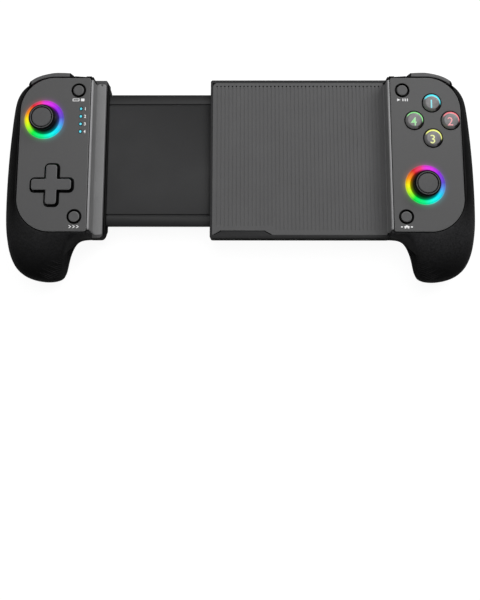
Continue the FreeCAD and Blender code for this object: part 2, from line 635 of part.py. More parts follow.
def ledge_block():
    y0, y1 = SLIDE_Y - TRAY_HALF, SLIDE_Y + TRAY_HALF
    top = BED_Z - LEDGE_DROP
    block = box(-SHELL_IN, LEDGE_END, y0, y1, TRAY_BOTTOM, top)
    for radius, y in zip(LEDGE_CORNERS, (y0, y1)):
        corner = [e for e in upright_edges(block)
                  if e.CenterOfMass.x > LEDGE_END - 0.1 and abs(e.CenterOfMass.y - y) < 0.1]
        block = block.makeFillet(radius, corner)
    lip = [e for e in edges_at(block, top) if e.CenterOfMass.x > LEDGE_END - 0.1]
    block = block.makeFillet(0.5, lip)
    block = block.cut(runner_passage(0.02, -SHELL_IN - 1, LEDGE_END + 1))
    return block.cut(pad_strip_form(SEAT_GAP, BED_Z + 2))


def pad_strip_form(margin, top):
    y0, y1 = SLIDE_Y - TRAY_HALF + 1.8, SLIDE_Y + TRAY_HALF - 2.2
    return rounded_box(PAD_STRIP_ENDS[0] - margin, PAD_STRIP_ENDS[1] + margin, y0 - margin, y1 + margin,
                       BED_Z - 2.2 - margin, top, 1.2)


def clamp_pad():
    strip = pad_strip_form(0.0, BED_Z)
    strip = strip.makeFillet(0.4, edges_at(strip, BED_Z))
    middle = (PAD_STRIP_ENDS[0] + PAD_STRIP_ENDS[1]) / 2
    end = TRAY_HALF - 5.0
    for x in (middle - 0.8, middle + 0.8):
        strip = strip.cut(box(x - 0.2, x + 0.2, SLIDE_Y - end, SLIDE_Y + end, BED_Z - 0.35, BED_Z + 1))
    return strip


def slide_collar():
    """Thin flared frame where the plate leaves the ledge."""
    x0, x1 = LEDGE_END, LEDGE_END + COLLAR_THICK
    y0, y1 = runner_y(-1) - 4.2, runner_y(1) + 4.2
    flare = plan_prism([(x0, y0 - 1.6), (x1, y0 + 1.4), (x1, y1 - 1.4), (x0, y1 + 1.6)],
                       TRAY_BOTTOM + 0.3, BED_Z - 2.4)
    return flare.cut(runner_passage(0.05, x0 - 1, x1 + 1))


# Buttons

def small_button(x, y):
    top = FACE_Z + SMALL_PROUD
    under = PLATE_LOW
    cap = cylinder(x, y, under - RUN_GAP - 0.8, top, SMALL_RADIUS)
    cap = cap.makeFillet(0.45, edges_at(cap, top))
    flange = cylinder(x, y, under - RUN_GAP - 0.8, under - RUN_GAP, SMALL_HOLE + FLANGE)
    stem = cylinder(x, y, STEM_LOW, under - 1, 1.3)
    return fused([cap, flange, stem])


def face_button(x, y):
    top = FACE_Z + BUTTON_PROUD
    under = PLATE_LOW
    body = cylinder(x, y, under - RUN_GAP - BUTTON_SKIRT, top, BUTTON_RADIUS)
    ball = Part.makeSphere(BUTTON_CROWN, V(x, y, top - BUTTON_CROWN))
    column = cylinder(x, y, 0, top - 2.0, BUTTON_RADIUS)
    body = body.common(fused([ball, column]))
    flange = cylinder(x, y, under - RUN_GAP - 1.0, under - RUN_GAP, BUTTON_HOLE + FLANGE)
    return fused([body, flange])


def diamond_spots():
    x, y = DIAMOND
    d = DIAMOND_REACH
    return {"top_face_button": (x, y + d), "left_face_button": (x - d, y),
            "right_face_button": (x + d, y), "bottom_face_button": (x, y - d)}


def contact_dome(x, y, z0, top, radius):
    return revolved([(0, z0), (radius, z0), (radius * 0.8, top - 0.6), (radius * 0.6, top), (0, top)], x, y)


def face_button_mat():
    z0 = BOARD_TOP
    top = PLATE_LOW - RUN_GAP - BUTTON_SKIRT - BUTTON_TRAVEL - RUN_GAP
    x, y = DIAMOND
    hold = BOARD[1] - x - 0.4
    sheet = rounded_box(x - 15.0, x + hold, y - 15.5, BOARD[3] - 0.3, z0, z0 + 0.8, 2.0)
    domes = [contact_dome(bx, by, z0 + 0.4, top, 2.3) for bx, by in diamond_spots().values()]
    right = diamond_spots()["right_face_button"]
    wing = rounded_box(x + hold - 3, right[0] + 4.0, right[1] - 4.0, right[1] + 4.0, z0, z0 + 0.8, 1.5)
    return fused([sheet, wing] + domes)


def cross_prism(x, y, reach, width, z0, z1, radius):
    half = width / 2
    arms = [rounded_box(x - reach, x + reach, y - half, y + half, z0, z1, radius),
            rounded_box(x - half, x + half, y - reach, y + reach, z0, z1, radius)]
    return fused(arms)


def press_spots(directions):
    x, y = DPAD
    return [(x + dx * DPAD_PRESS, y + dy * DPAD_PRESS) for dx, dy in directions]


def dpad():
    x, y = DPAD
    top = FACE_Z + DPAD_PROUD
    body = cross_prism(x, y, DPAD_REACH, DPAD_WIDTH, DPAD_LOW, top, 2.6)
    dish = Part.makeSphere(34.0, V(x, y, top - 1.0 + 34.0))
    body = body.cut(dish)
    high = DPAD_LOW + 0.5
    low = DPAD_PIVOT_Z - 1.5
    lugs = [box(x + s * 4.0 - 0.7, x + s * 4.0 + 0.7, y - 1.6, y + 1.6, low, high) for s in (-1, 1)]
    prongs = [cylinder(px, py, DPAD_PRONG_LOW, high, 1.4) for px, py in press_spots(FOUR_WAYS)]
    whole = fused([body] + lugs + prongs)
    return whole.cut(pin_x(x - 5, x + 5, y, DPAD_PIVOT_Z, DPAD_PIN + FIT_GAP))


def dpad_pivot():
    x, y = DPAD
    z = DPAD_PIVOT_Z
    block = box(x - 2.8, x + 2.8, y - 1.8, y + 1.8, z - 1.2, z + 1.2)
    return fused([block, pin_x(x - 4.6, x + 4.6, y, z, DPAD_PIN), pin_y(x, y - 3.8, y + 3.8, z, DPAD_PIN)])


def dpad_bracket():
    x, y = DPAD
    z0 = BOARD_TOP
    base = box(x - 4.6, x + 4.6, y - 4.2, y + 4.2, z0, z0 + 1.2)
    high = DPAD_PIVOT_Z + 1.4
    ears = [box(x - 1.6, x + 1.6, y + s * 3.2 - 0.7, y + s * 3.2 + 0.7, z0, high) for s in (-1, 1)]
    whole = fused([base] + ears)
    return whole.cut(pin_y(x, y - 5, y + 5, DPAD_PIVOT_Z, DPAD_PIN + FIT_GAP))


def dpad_mat():
    x, y = DPAD
    z0 = BOARD_TOP
    sheet = rounded_box(x - 8.2, x + 11.4, y - 11.4, y + 11.4, z0, z0 + 0.8, 2.0)
    sheet = sheet.cut(box(x - 4.8, x + 4.8, y - 4.4, y + 4.4, z0 - 1, z0 + 2))
    wing = rounded_box(x - 11.4, x - 7, y - 4, y + 4, z0, z0 + 0.8, 1.5)
    domes = [contact_dome(px, py, z0 + 0.4, DPAD_MAT_TOP, 2.6) for px, py in press_spots(FOUR_WAYS)]
    return fused([sheet, wing] + domes)


# Thumbsticks

def light_ring(spot):
    x, y = spot
    z = FACE_Z
    under = PLATE_LOW - SEAT_GAP
    foot = under - 1.1
    skirt = RING_OUT - 0.3
    points = [(RING_IN, z - 0.4), (RING_IN, z), (RING_IN + 0.4, z + RING_PROUD),
              (RING_OUT - 0.3, z + RING_PROUD), (RING_OUT, z + 0.1), (RING_OUT, under),
              (RING_FLANGE, under), (RING_FLANGE, foot), (skirt, foot), (skirt, under + 0.6)]
    return revolved(points, x, y)


def stick_housing(spot):
    x, y = spot
    z = STICK_PIVOT_Z
    low = BOARD_TOP
    h = HOUSING_HALF
    block = box(x - h, x + h, y - h, y + h, low, z + 1.4)
    room = box(x - h + 1.1, x + h - 1.1, y - h + 1.1, y + h - 1.1, low + 0.3, z + 5)
    block = block.cut(room)
    return block.cut(pin_y(x, y - h - 1, y + h + 1, z, GIMBAL_PIN + FIT_GAP))


def stick_gimbal(spot):
    x, y = spot
    z = STICK_PIVOT_Z
    h, room = GIMBAL_HALF, GIMBAL_HALF - 1.2
    frame = box(x - h, x + h, y - h, y + h, z - GIMBAL_THICK / 2, z + GIMBAL_THICK / 2)
    frame = frame.cut(box(x - room, x + room, y - room, y + room, z - 3, z + 3))
    pins = [pin_y(x, y - HOUSING_HALF, y - h + 0.4, z, GIMBAL_PIN),
            pin_y(x, y + h - 0.4, y + HOUSING_HALF, z, GIMBAL_PIN)]
    frame = fused([frame] + pins)
    return frame.cut(pin_x(x - 6, x + 6, y, z, ROCKER_PIN + FIT_GAP))


def stick_rocker(spot):
    x, y = spot
    z = STICK_PIVOT_Z
    ball = Part.makeSphere(2.45, V(x, y, z))
    shaft = cylinder(x, y, z, SHAFT_TOP, SHAFT_RADIUS)
    return fused([ball, shaft, pin_x(x - GIMBAL_HALF, x + GIMBAL_HALF, y, z, ROCKER_PIN)])


def stick_cap(spot):
    x, y = spot
    z = STICK_PIVOT_Z
    centre = V(x, y, z)
    dome = Part.makeSphere(DOME_RADIUS, centre).cut(Part.makeSphere(DOME_RADIUS - DOME_WALL, centre))
    dome = dome.common(cylinder(x, y, z + DOME_EDGE, z + DOME_RADIUS + 1, DOME_RADIUS + 2))
    top = STICK_TOP
    neck = cylinder(x, y, z + DOME_RADIUS - DOME_WALL, top - 1, NECK_RADIUS)
    r = CAP_RADIUS
    head = revolved([(0, top - CAP_THICK), (r - 1.4, top - CAP_THICK), (r - 0.3, top - CAP_THICK + 0.7),
                     (r, top - 1.0), (r - 0.1, top - 0.4), (r - 0.5, top), (r - 0.9, top),
                     (r - 1.2, top - 0.5), (r - 2.0, top - 0.5), (r - 2.3, top - 0.15), (3.0, top - 0.4),
                     (0, top - 0.5)], x, y)
    nubs = []
    for dx, dy in FOUR_WAYS:
        nx, ny = x + dx * (r - 1.6), y + dy * (r - 1.6)
        nubs.append(box(nx - 0.7, nx + 0.7, ny - 0.7, ny + 0.7, top - 1.5, top - 0.1))
    whole = fused([dome, neck, head] + nubs)
    return whole.cut(cylinder(x, y, z, SHAFT_TOP + PRESS_TRAVEL + RUN_GAP, SHAFT_RADIUS + FIT_GAP))


# Shoulder controls

def bumper():
    bar = bumper_form(0.0)
    y, z = BUMPER_PIN
    x0, x1 = BAY_IN + RUN_GAP, BAY_OUT - RUN_GAP
    web = box(x0, x1, y - 1.0, y + 3.9, SHOULDER_SPLIT + 0.5, z + 1.6)
    blade = box(x0 + BLADE_INSET, x1 - BLADE_INSET, y + 0.5, y + 4.6, z + 1.0, PLATE_LOW - 1.0)
    inside = fused([web, blade]).common(shoulder_plan(-BLADE_MARGIN, 0, FACE_Z))
    body = fused([bar, inside, pin_x(x0, x1, y, z, BARREL_RADIUS)])
    return body.cut(pin_x(x0 - 20, x1 + 20, y, z, PIN_RADIUS + FIT_GAP))


def trigger():
    y, z = TRIGGER_PIN
    x0, x1 = BAY_IN + RUN_GAP, BAY_OUT - RUN_GAP
    hub = [(y - 2.0, z - 1.0), (y - BARREL_RADIUS, z + 0.8), (y - 0.8, z + 2.6)]
    body = side_prism([(y + dy, z + dz) for dy, dz in TRIGGER_FACE] + hub, x0, x1)
    body = body.common(shoulder_plan(TRIGGER_MARGIN, 0, FACE_Z))
    body = fused([body, pin_x(x0, x1, y, z, BARREL_RADIUS)])
    return body.cut(pin_x(x0 - 20, x1 + 20, y, z, PIN_RADIUS + FIT_GAP))


def shoulder_pins():
    x0, x1 = BAY_IN - BAY_WALL, BAY_OUT + BAY_WALL
    return Part.makeCompound([pin_x(x0, x1, y, z, PIN_RADIUS) for y, z in (BUMPER_PIN, TRIGGER_PIN)])


# Boards

def circuit_board():
    x0, x1, y0, y1 = BOARD
    z0, z1 = BOARD_Z, BOARD_TOP
    back, front = BOARD_EARS
    main = rounded_box(x0, x1, y0, y1, z0, z1, 1.5)
    rear_ear = rounded_box(x0, back, y1 - 6, SMALL_BACK + 3.2, z0, z1, 1.0)
    front_ear = rounded_box(x0, front, SMALL_FRONT - 3.2, y0 + 6, z0, z1, 1.0)
    return fused([main, rear_ear, front_ear])


def press_switches():
    """Tall push switches under the two small buttons of a unit."""
    z = BOARD_TOP
    switches = []
    for y in (SMALL_BACK, SMALL_FRONT):
        body = box(SMALL_X - 2.6, SMALL_X + 0.7, y - 2.6, y + 2.6, z, z + 2.2)
        plunger = cylinder(SMALL_X, y, z + 1.4, STEM_LOW - SMALL_TRAVEL - 0.2, 1.0)
        switches.append(fused([body, plunger]))
    return Part.makeCompound(switches)


def battery():
    x0, x1, y0, y1 = BATTERY
    cell = box(x0, x1, y0, y1, SHELL_FLOOR + SEAT_GAP, BATTERY_TOP)
    return cell.makeFillet(1.2, edges_along(cell, Y_AXIS))


def indicator_lights():
    lights = []
    w, h = LIGHT_SIZE
    under = PLATE_LOW
    for i in range(LIGHT_COUNT):
        y = LIGHTS_Y - i * LIGHT_PITCH
        pipe = box(LIGHTS_X - w / 2, LIGHTS_X + w / 2, y - h / 2, y + h / 2, under - 2, FACE_Z + 0.05)
        foot = box(LIGHTS_X - w / 2 - 0.6, LIGHTS_X + w / 2 + 0.6, y - h / 2 - 0.6, y + h / 2 + 0.6,
                   under - 2, under - SEAT_GAP)
        lights.append(fused([pipe, foot]))
    return Part.makeCompound(lights)


# Whole units

def left_face_plate():
    plate = mirrored(face_plate_blank())
    x, y = LEFT_STICK
    z0, z1 = PLATE_LOW - 1, FACE_Z + 1
    plate = plate.cut(cylinder(x, y, z0, z1, RING_OUT + SEAT_GAP))
    reach, width = DPAD_REACH + DPAD_GAP, DPAD_WIDTH + 2 * DPAD_GAP
    plate = plate.cut(cross_prism(DPAD[0], DPAD[1], reach, width, z0, z1, 3.0))
    w, h = LIGHT_SIZE
    for i in range(LIGHT_COUNT):
        ly = LIGHTS_Y - i * LIGHT_PITCH
        plate = plate.cut(box(LIGHTS_X - w / 2, LIGHTS_X + w / 2, ly - h / 2, ly + h / 2, z0, z1))
    return plate


def right_face_plate():
    plate = face_plate_blank()
    x, y = RIGHT_STICK
    z0, z1 = PLATE_LOW - 1, FACE_Z + 1
    plate = plate.cut(cylinder(x, y, z0, z1, RING_OUT + SEAT_GAP))
    for bx, by in diamond_spots().values():
        plate = plate.cut(cylinder(bx, by, z0, z1, BUTTON_HOLE))
    return plate


def left_back_shell():
    shell = mirrored(back_shell())
    shell = shell.cut(runner_passage(SEAT_GAP, -SHELL_IN - INNER_WALL - 1, -SHELL_IN + 1))
    low = RUNNER_Z - RUNNER_THICK
    posts = [cylinder(x, y, BAY_FLOOR, low, POST_RADIUS) for x, y in runner_screw_spots()]
    shell = shell.fuse(posts)
    for x, y in runner_screw_spots():
        shell = shell.cut(cylinder(x, y, low - POST_SCREW - 0.5, RUNNER_Z, SCREW_RADIUS))
    return shell


def right_back_shell():
    half = TONGUE_HALF + SEAT_GAP
    tongue = box(SHELL_IN - 1, TONGUE_END + 0.3, SLIDE_Y - half, SLIDE_Y + half,
                 TONGUE_TOP - TONGUE_THICK - SEAT_GAP, TONGUE_TOP + SEAT_GAP)
    shell = back_shell().cut(tongue)
    x, y = diamond_spots()["right_face_button"]
    shell = shell.cut(cylinder(x, y, BAY_TOP, PLATE_LOW, BUTTON_HOLE + 0.9))
    under = TONGUE_TOP - TONGUE_THICK
    posts = [cylinder(x, y, BAY_FLOOR, under, POST_RADIUS) for x, y in tongue_spots()]
    shell = shell.fuse(posts)
    for x, y in tongue_spots():
        shell = shell.cut(cylinder(x, y, under - POST_SCREW - 0.5, under + 1, SCREW_RADIUS))
    return shell


def build():
    nodes = {
        "tray_shell": tray_shell(),
        "tray_bottom_cover": tray_bottom_cover(),
        "tray_screws": tray_screws(),
        "tongue_screws": tongue_screws(),
        "ribbed_phone_pad": ribbed_phone_pad(),
        "slide_guide_strips": guide_strips(),
        "slide_brake_springs": brake_springs(),
        "charging_port": charging_port(),
        "right_wall_liner": wall_liner(),
        "right_face_plate": right_face_plate(),
        "right_back_shell": right_back_shell(),
        "right_circuit_board": circuit_board(),
        "right_press_switches": press_switches(),
        "right_stick_housing": stick_housing(RIGHT_STICK),
        "right_light_ring": light_ring(RIGHT_STICK),
        "face_button_mat": face_button_mat(),
        "right_shoulder_pins": shoulder_pins(),
        "right_shell_screws": unit_screws(),
        "sliding_plate": sliding_plate(),
        "plate_screws": plate_screws(),
        "ledge_block": ledge_block(),
        "clamp_pad": clamp_pad(),
        "slide_collar": slide_collar(),
        "left_wall_liner": mirrored(wall_liner()),
        "left_face_plate": left_face_plate(),
        "left_back_shell": left_back_shell(),
        "left_circuit_board": mirrored(circuit_board()),
        "left_press_switches": mirrored(press_switches()),
        "battery": mirrored(battery()),
        "left_stick_housing": stick_housing(LEFT_STICK),
        "left_light_ring": light_ring(LEFT_STICK),
        "dpad_bracket": dpad_bracket(),
        "dpad_mat": dpad_mat(),
        "indicator_lights": indicator_lights(),
        "left_shoulder_pins": mirrored(shoulder_pins()),
        "left_shell_screws": mirrored(unit_screws()),
        "dpad_pivot": dpad_pivot(),
        "dpad": dpad(),
        "select_button": small_button(-SMALL_X, SMALL_BACK),
        "turbo_button": small_button(-SMALL_X, SMALL_FRONT),
        "start_button": small_button(SMALL_X, SMALL_BACK),
        "home_button": small_button(SMALL_X, SMALL_FRONT),
        "left_bumper": mirrored(bumper()),
        "right_bumper": bumper(),
        "left_trigger": mirrored(trigger()),
        "right_trigger": trigger(),
    }
    for name, (x, y) in diamond_spots().items():
        nodes[name] = face_button(x, y)
    for side, spot in (("left", LEFT_STICK), ("right", RIGHT_STICK)):
        nodes[side + "_stick_gimbal"] = stick_gimbal(spot)
        nodes[side + "_stick_rocker"] = stick_rocker(spot)
        nodes[side + "_stick_cap"] = stick_cap(spot)
    return nodes


os.makedirs("parts", exist_ok=True)
for name, shape in build().items():
    shape.exportStep("parts/" + name + ".step")
    print(name, len(shape.Solids), round(shape.Volume, 1), shape.isValid())
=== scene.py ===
import bpy
import bmesh
import math
from mathutils import Matrix, Vector
from mathutils.bvhtree import BVHTree


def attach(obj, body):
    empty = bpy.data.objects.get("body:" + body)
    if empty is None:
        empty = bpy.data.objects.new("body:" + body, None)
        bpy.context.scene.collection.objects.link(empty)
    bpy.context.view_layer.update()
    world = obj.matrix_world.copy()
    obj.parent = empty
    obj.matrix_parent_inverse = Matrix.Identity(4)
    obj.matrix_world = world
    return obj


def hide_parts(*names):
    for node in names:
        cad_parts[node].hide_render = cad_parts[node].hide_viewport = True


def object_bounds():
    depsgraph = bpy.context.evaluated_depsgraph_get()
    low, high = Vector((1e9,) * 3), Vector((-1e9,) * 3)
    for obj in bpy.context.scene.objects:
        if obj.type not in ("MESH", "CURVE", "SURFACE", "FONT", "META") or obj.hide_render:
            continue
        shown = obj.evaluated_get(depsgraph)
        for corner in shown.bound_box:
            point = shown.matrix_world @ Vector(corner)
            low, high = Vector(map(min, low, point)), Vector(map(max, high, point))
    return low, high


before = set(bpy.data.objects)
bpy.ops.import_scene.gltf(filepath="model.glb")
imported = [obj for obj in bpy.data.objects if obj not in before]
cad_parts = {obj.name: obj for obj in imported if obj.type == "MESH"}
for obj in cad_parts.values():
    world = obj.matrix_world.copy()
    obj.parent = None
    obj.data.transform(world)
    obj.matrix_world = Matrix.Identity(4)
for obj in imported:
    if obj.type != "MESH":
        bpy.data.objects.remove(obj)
cad_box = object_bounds()

# A telescopic phone gamepad, dressed. Lengths are written in millimetres and turned into metres by MM.
# Pieces of a unit are drawn at +X and turned over for the left unit.

MM = 0.001
LEFT, RIGHT = "left_unit", "right_unit"
UNITS = ((LEFT, "left", -1), (RIGHT, "right", 1))

FACE_Z = 31.5
PLATE_LOW = 29.5
BED_Z = 20.0
PLATE_IN, PLATE_OUT = 83.5, 122.0
PLATE_FRONT, PLATE_BACK = -31.6, 54.65
PLATE_CORNER, PLATE_INNER_CORNER = 18.5, 1.2
EDGE_WIDTH = 0.6  # how far a plate's outer edge reaches in
SHELL_IN = 84.0
SMALL_X, SMALL_BACK, SMALL_FRONT = 90.1, 47.4, -23.5
SMALL_HOLE, SMALL_RADIUS = 3.95, 2.9
FACE_BUTTONS = {"top": (106.2, 40.1), "left": (96.2, 30.1), "right": (116.2, 30.1), "bottom": (106.2, 20.1)}
FACE_NUMBERS = {"top": "1", "left": "4", "right": "2", "bottom": "3"}
BUTTON_HOLE, BUTTON_RADIUS, BUTTON_TOP = 5.35, 4.95, 33.5
DPAD, DPAD_REACH, DPAD_WIDTH = (-102.9, -6.2), 10.9, 6.0
DPAD_SHIFT = (-0.15, 0.2)
DPAD_HOLE_REACH, DPAD_HOLE_WIDTH = 12.05, 8.3
LEFT_STICK, RIGHT_STICK = (-108.6, 30.6), (101.0, -6.0)
STICK_PIVOT_Z, STICK_TOP, DOME_RADIUS = 23.5, 38.3, 11.0
RING_IN, RING_OUT = 8.3, 10.5
LIGHTS_X, LIGHTS_Y, LIGHT_PITCH = -88.4, 36.8, 4.32
LINER_FACE = 82.0


# Lines and outlines, as lists of 2D points

def soften(points, radius, closed=True, steps=6):
    """Rounds the corners of a line with arcs. The radius is one number, or one for each point."""
    out = []
    last = len(points) - 1
    for i, point in enumerate(points):
        r = radius[i] if isinstance(radius, (list, tuple)) else radius
        corner = Vector(point)
        to_a = Vector(points[i - 1]) - corner
        to_b = Vector(points[(i + 1) % len(points)]) - corner
        if r <= 0 or (not closed and i in (0, last)) or to_a.length < 1e-6 or to_b.length < 1e-6:
            out.append(tuple(point))
            continue
        angle = to_a.angle(to_b)
        if angle > 3.12:
            out.append(tuple(point))
            continue
        reach = min(r / math.tan(angle / 2), to_a.length * 0.499, to_b.length * 0.499)
        r = reach * math.tan(angle / 2)
        u, v = to_a.normalized(), to_b.normalized()
        centre = corner + (u + v).normalized() * (r / math.sin(angle / 2))
        start, end = corner + u * reach - centre, corner + v * reach - centre
        a0 = math.atan2(start.y, start.x)
        turn = (math.atan2(end.y, end.x) - a0 + math.pi) % (2 * math.pi) - math.pi
        count = max(steps, int(abs(turn) * math.sqrt(r) * 5))
        for k in range(count + 1):
            a = a0 + turn * k / count
            out.append((centre.x + r * math.cos(a), centre.y + r * math.sin(a)))
    return out


def flowing(points, steps=8):
    """A smooth line through all points (Catmull-Rom)."""
    out = []
    for i in range(len(points) - 1):
        p0, p1 = Vector(points[max(i - 1, 0)]), Vector(points[i])
        p2, p3 = Vector(points[i + 1]), Vector(points[min(i + 2, len(points) - 1)])
        for k in range(steps):
            t = k / steps
            q = (p1 * 2 + (p2 - p0) * t + (p0 * 2 - p1 * 5 + p2 * 4 - p3) * t * t
                 + (p1 * 3 - p0 - p2 * 3 + p3) * t ** 3) / 2
            out.append(tuple(q))
    return out + [tuple(points[-1])]


def circle(x, y, r, steps=72, squash=1.0):
    return [(x + r * math.cos(2 * math.pi * k / steps), y + r * squash * math.sin(2 * math.pi * k / steps))
            for k in range(steps)]


def rect(x0, x1, y0, y1, r=0.0):
    return soften([(x0, y0), (x1, y0), (x1, y1), (x0, y1)], r)


def cross(x, y, reach, width, tip, inner):
    a, w = reach, width / 2
    points = [(a, -w), (a, w), (w, w), (w, a), (-w, a), (-w, w), (-a, w), (-a, -w), (-w, -w), (-w, -a),
              (w, -a), (w, -w)]
    return soften([(x + px, y + py) for px, py in points], [tip, tip, inner] * 4)


# Materials: Object coordinates only, detail sizes in millimetres

class Finish:
    """A material's node tree with short calls for what repeats."""

    def __init__(self, name, **sockets):
        self.material = bpy.data.materials.new(name)
        self.material.use_nodes = True
        self.tree = self.material.node_tree
        self.tree.nodes.clear()
        out = self.add("OutputMaterial")
        self.shader = self.add("BsdfPrincipled")
        self.tree.links.new(self.shader.outputs[0], out.inputs[0])
        self.place = self.add("TexCoord").outputs["Object"]
        for key, value in sockets.items():
            self.shader.inputs[key.replace("_", " ")].default_value = value

    def add(self, kind, **settings):
        made = self.tree.nodes.new("ShaderNode" + kind)
        for key, value in settings.items():
            setattr(made, key, value)
        return made

    def put(self, value, socket):
        if isinstance(value, bpy.types.NodeSocket):
            self.tree.links.new(value, socket)
        else:
            socket.default_value = value

    def math(self, operation, *values, clamp=False):
        made = self.add("Math", operation=operation, use_clamp=clamp)
        for value, socket in zip(values, made.inputs):
            self.put(value, socket)
        return made.outputs[0]

    def vector(self, operation, *values):
        made = self.add("VectorMath", operation=operation)
        for value, socket in zip(values, made.inputs):
            self.put(value, socket)
        return made.outputs["Vector"]

    def noise(self, size, detail=2.0, rough=0.5, stretch=(1, 1, 1)):
        """Noise whose spots are about size millimetres across."""
        place = self.vector("MULTIPLY", self.place, tuple(stretch))
        made = self.add("TexNoise")
        self.put(place, made.inputs["Vector"])
        made.inputs["Scale"].default_value = 1000.0 / size
        made.inputs["Detail"].default_value = detail
        made.inputs["Roughness"].default_value = rough
        return made.outputs[0]

    def span(self, value, low, high, out_low=0.0, out_high=1.0, smooth=False):
        made = self.add("MapRange", clamp=True)
        if smooth:
            made.interpolation_type = "SMOOTHSTEP"
        for number, socket in zip((value, low, high, out_low, out_high), made.inputs):
            self.put(number, socket)
        return made.outputs[0]

    def ramp(self, value, stops):
        made = self.add("ValToRGB")
        line = made.color_ramp.elements
        while len(line) < len(stops):
            line.new(0.5)
        for element, (spot, colour) in zip(line, stops):
            element.position = spot
            element.color = tuple(colour) + (1.0,)
        self.put(value, made.inputs[0])
        return made.outputs[0]

    def mix(self, share, a, b, blend="MIX"):
        made = self.add("Mix", data_type="RGBA", blend_type=blend)
        self.put(share, made.inputs[0])
        for value, socket in ((a, made.inputs[6]), (b, made.inputs[7])):
            self.put(value if isinstance(value, bpy.types.NodeSocket) else tuple(value) + (1.0,), socket)
        return made.outputs[2]

    def bump(self, height, depth, normal=None):
        """Height from 0 to 1 stands for depth millimetres."""
        made = self.add("Bump")
        made.inputs["Distance"].default_value = depth * MM
        self.put(height, made.inputs["Height"])
        if normal is not None:
            self.put(normal, made.inputs["Normal"])
        return made.outputs[0]

    def add_grey(self, value):
        made = self.add("CombineColor")
        for socket in made.inputs[:3]:
            self.put(value, socket)
        return made.outputs[0]

    def polar(self, spot):
        """Place in metres from an upright axis, and the distance from it in millimetres."""
        parts = self.add("SeparateXYZ")
        self.put(self.vector("SUBTRACT", self.place, (spot[0] * MM, spot[1] * MM, 0.0)), parts.inputs[0])
        x, y = parts.outputs[0], parts.outputs[1]
        square = self.math("ADD", self.math("MULTIPLY", x, x), self.math("MULTIPLY", y, y))
        return x, y, self.math("MULTIPLY", self.math("SQRT", square), 1000.0)

    def set(self, socket, value):
        self.put(value, self.shader.inputs[socket])


def moulded(name, colour, rough, grain=0.35, depth=0.014, drift=0.07, fleck=0.06, **sockets):
    """Moulded plastic or rubber: fine eroded grain, slow drift of colour, small flecks, uneven gloss."""
    f = Finish(name, **sockets)
    slow, fine, spots = f.noise(14.0, 3.0), f.noise(grain, 2.0, 0.6), f.noise(0.9, 3.0, 0.6)
    shade = [tuple(c * (1 + s * drift) for c in colour) for s in (-1, 1)]
    base = f.ramp(slow, ((0.3, shade[0]), (0.7, shade[1])))
    flecks = f.span(spots, 0.25, 0.75, 1 - fleck, 1 + fleck)
    f.set("Base Color", f.mix(1.0, base, f.add_grey(flecks), "MULTIPLY"))
    gloss = f.span(slow, 0.3, 0.7, rough - 0.03, rough + 0.03)
    f.set("Roughness", f.math("ADD", f.span(fine, 0.3, 0.7, -0.05, 0.05), gloss))
    f.set("Normal", f.bump(fine, depth))
    f.base = base
    return f


def shell_finish(name, tone):
    """Eroded black plastic with painted light and shade: palest where the plates end and darker along the
    grips and the sides.
    """
    f = moulded(name, (tone, tone, tone * 1.05), 0.5, 0.45, 0.05, 0.12, 0.5, Specular_IOR_Level=0.12)
    parts = f.add("SeparateXYZ")
    f.put(f.place, parts.inputs[0])
    # Painted light and shade along Y: brightest just in front of the plates, darker towards the grips' front
    # ends and under the plates.
    painted_shading = f.span(parts.outputs[1], -0.055, -0.032, 0.45, 2.3, smooth=True)
    painted_shading = f.math("MULTIPLY", painted_shading, f.span(parts.outputs[1], -0.03, -0.01, 1.0, 0.1, smooth=True))
    flecks = f.span(f.noise(0.9, 3.0, 0.6), 0.25, 0.75, 0.5, 1.5)
    f.set("Base Color", f.mix(1.0, f.base, f.add_grey(f.math("MULTIPLY", painted_shading, flecks)), "MULTIPLY"))
    return f.material


def hue_ramp(f, spot):
    """The colour circle of a light ring round a stick, and the distance from its middle in mm."""
    x, y, distance = f.polar(spot)
    turn = f.math("MULTIPLY_ADD", f.math("ARCTAN2", y, x), 0.5 / math.pi, 0.5)
    return f.ramp(turn, RING_HUES), distance


# Share of the turn from the left side round the front: yellow, green, cyan, blue, magenta, red
RING_HUES = (
    (0.0, (1.0, 0.86, 0.0)), (0.06, (0.55, 1.0, 0.01)), (0.14, (0.0, 0.9, 0.05)), (0.24, (0.0, 0.9, 0.28)),
    (0.31, (0.0, 1.0, 0.78)), (0.39, (0.0, 0.76, 1.0)), (0.46, (0.09, 0.34, 0.88)),
    (0.52, (0.11, 0.07, 0.62)), (0.61, (0.3, 0.02, 0.8)), (0.69, (0.74, 0.03, 0.88)),
    (0.75, (0.82, 0.04, 0.7)), (0.79, (0.9, 0.05, 0.2)), (0.86, (0.72, 0.02, 0.02)),
    (0.94, (1.0, 0.3, 0.0)), (1.0, (1.0, 0.86, 0.0)),
)


def plate_finish(name, spot):
    """Satin charcoal with the coloured glow that the light ring throws on it."""
    f = moulded(name, (0.118, 0.118, 0.119), 0.5, 0.3, 0.008, 0.03, 0.035, Specular_IOR_Level=0.35)
    hue, distance = hue_ramp(f, spot)
    near = f.span(distance, RING_OUT, RING_OUT + 4.5, 1.0, 0.0)
    edge = f.span(distance, RING_OUT + 0.1, RING_OUT + 0.75, 0.55, 0.0)
    f.set("Emission Color", hue)
    f.set("Emission Strength", f.math("ADD", f.math("MULTIPLY", f.math("POWER", near, 3.0), 0.2), edge))
    return f.material


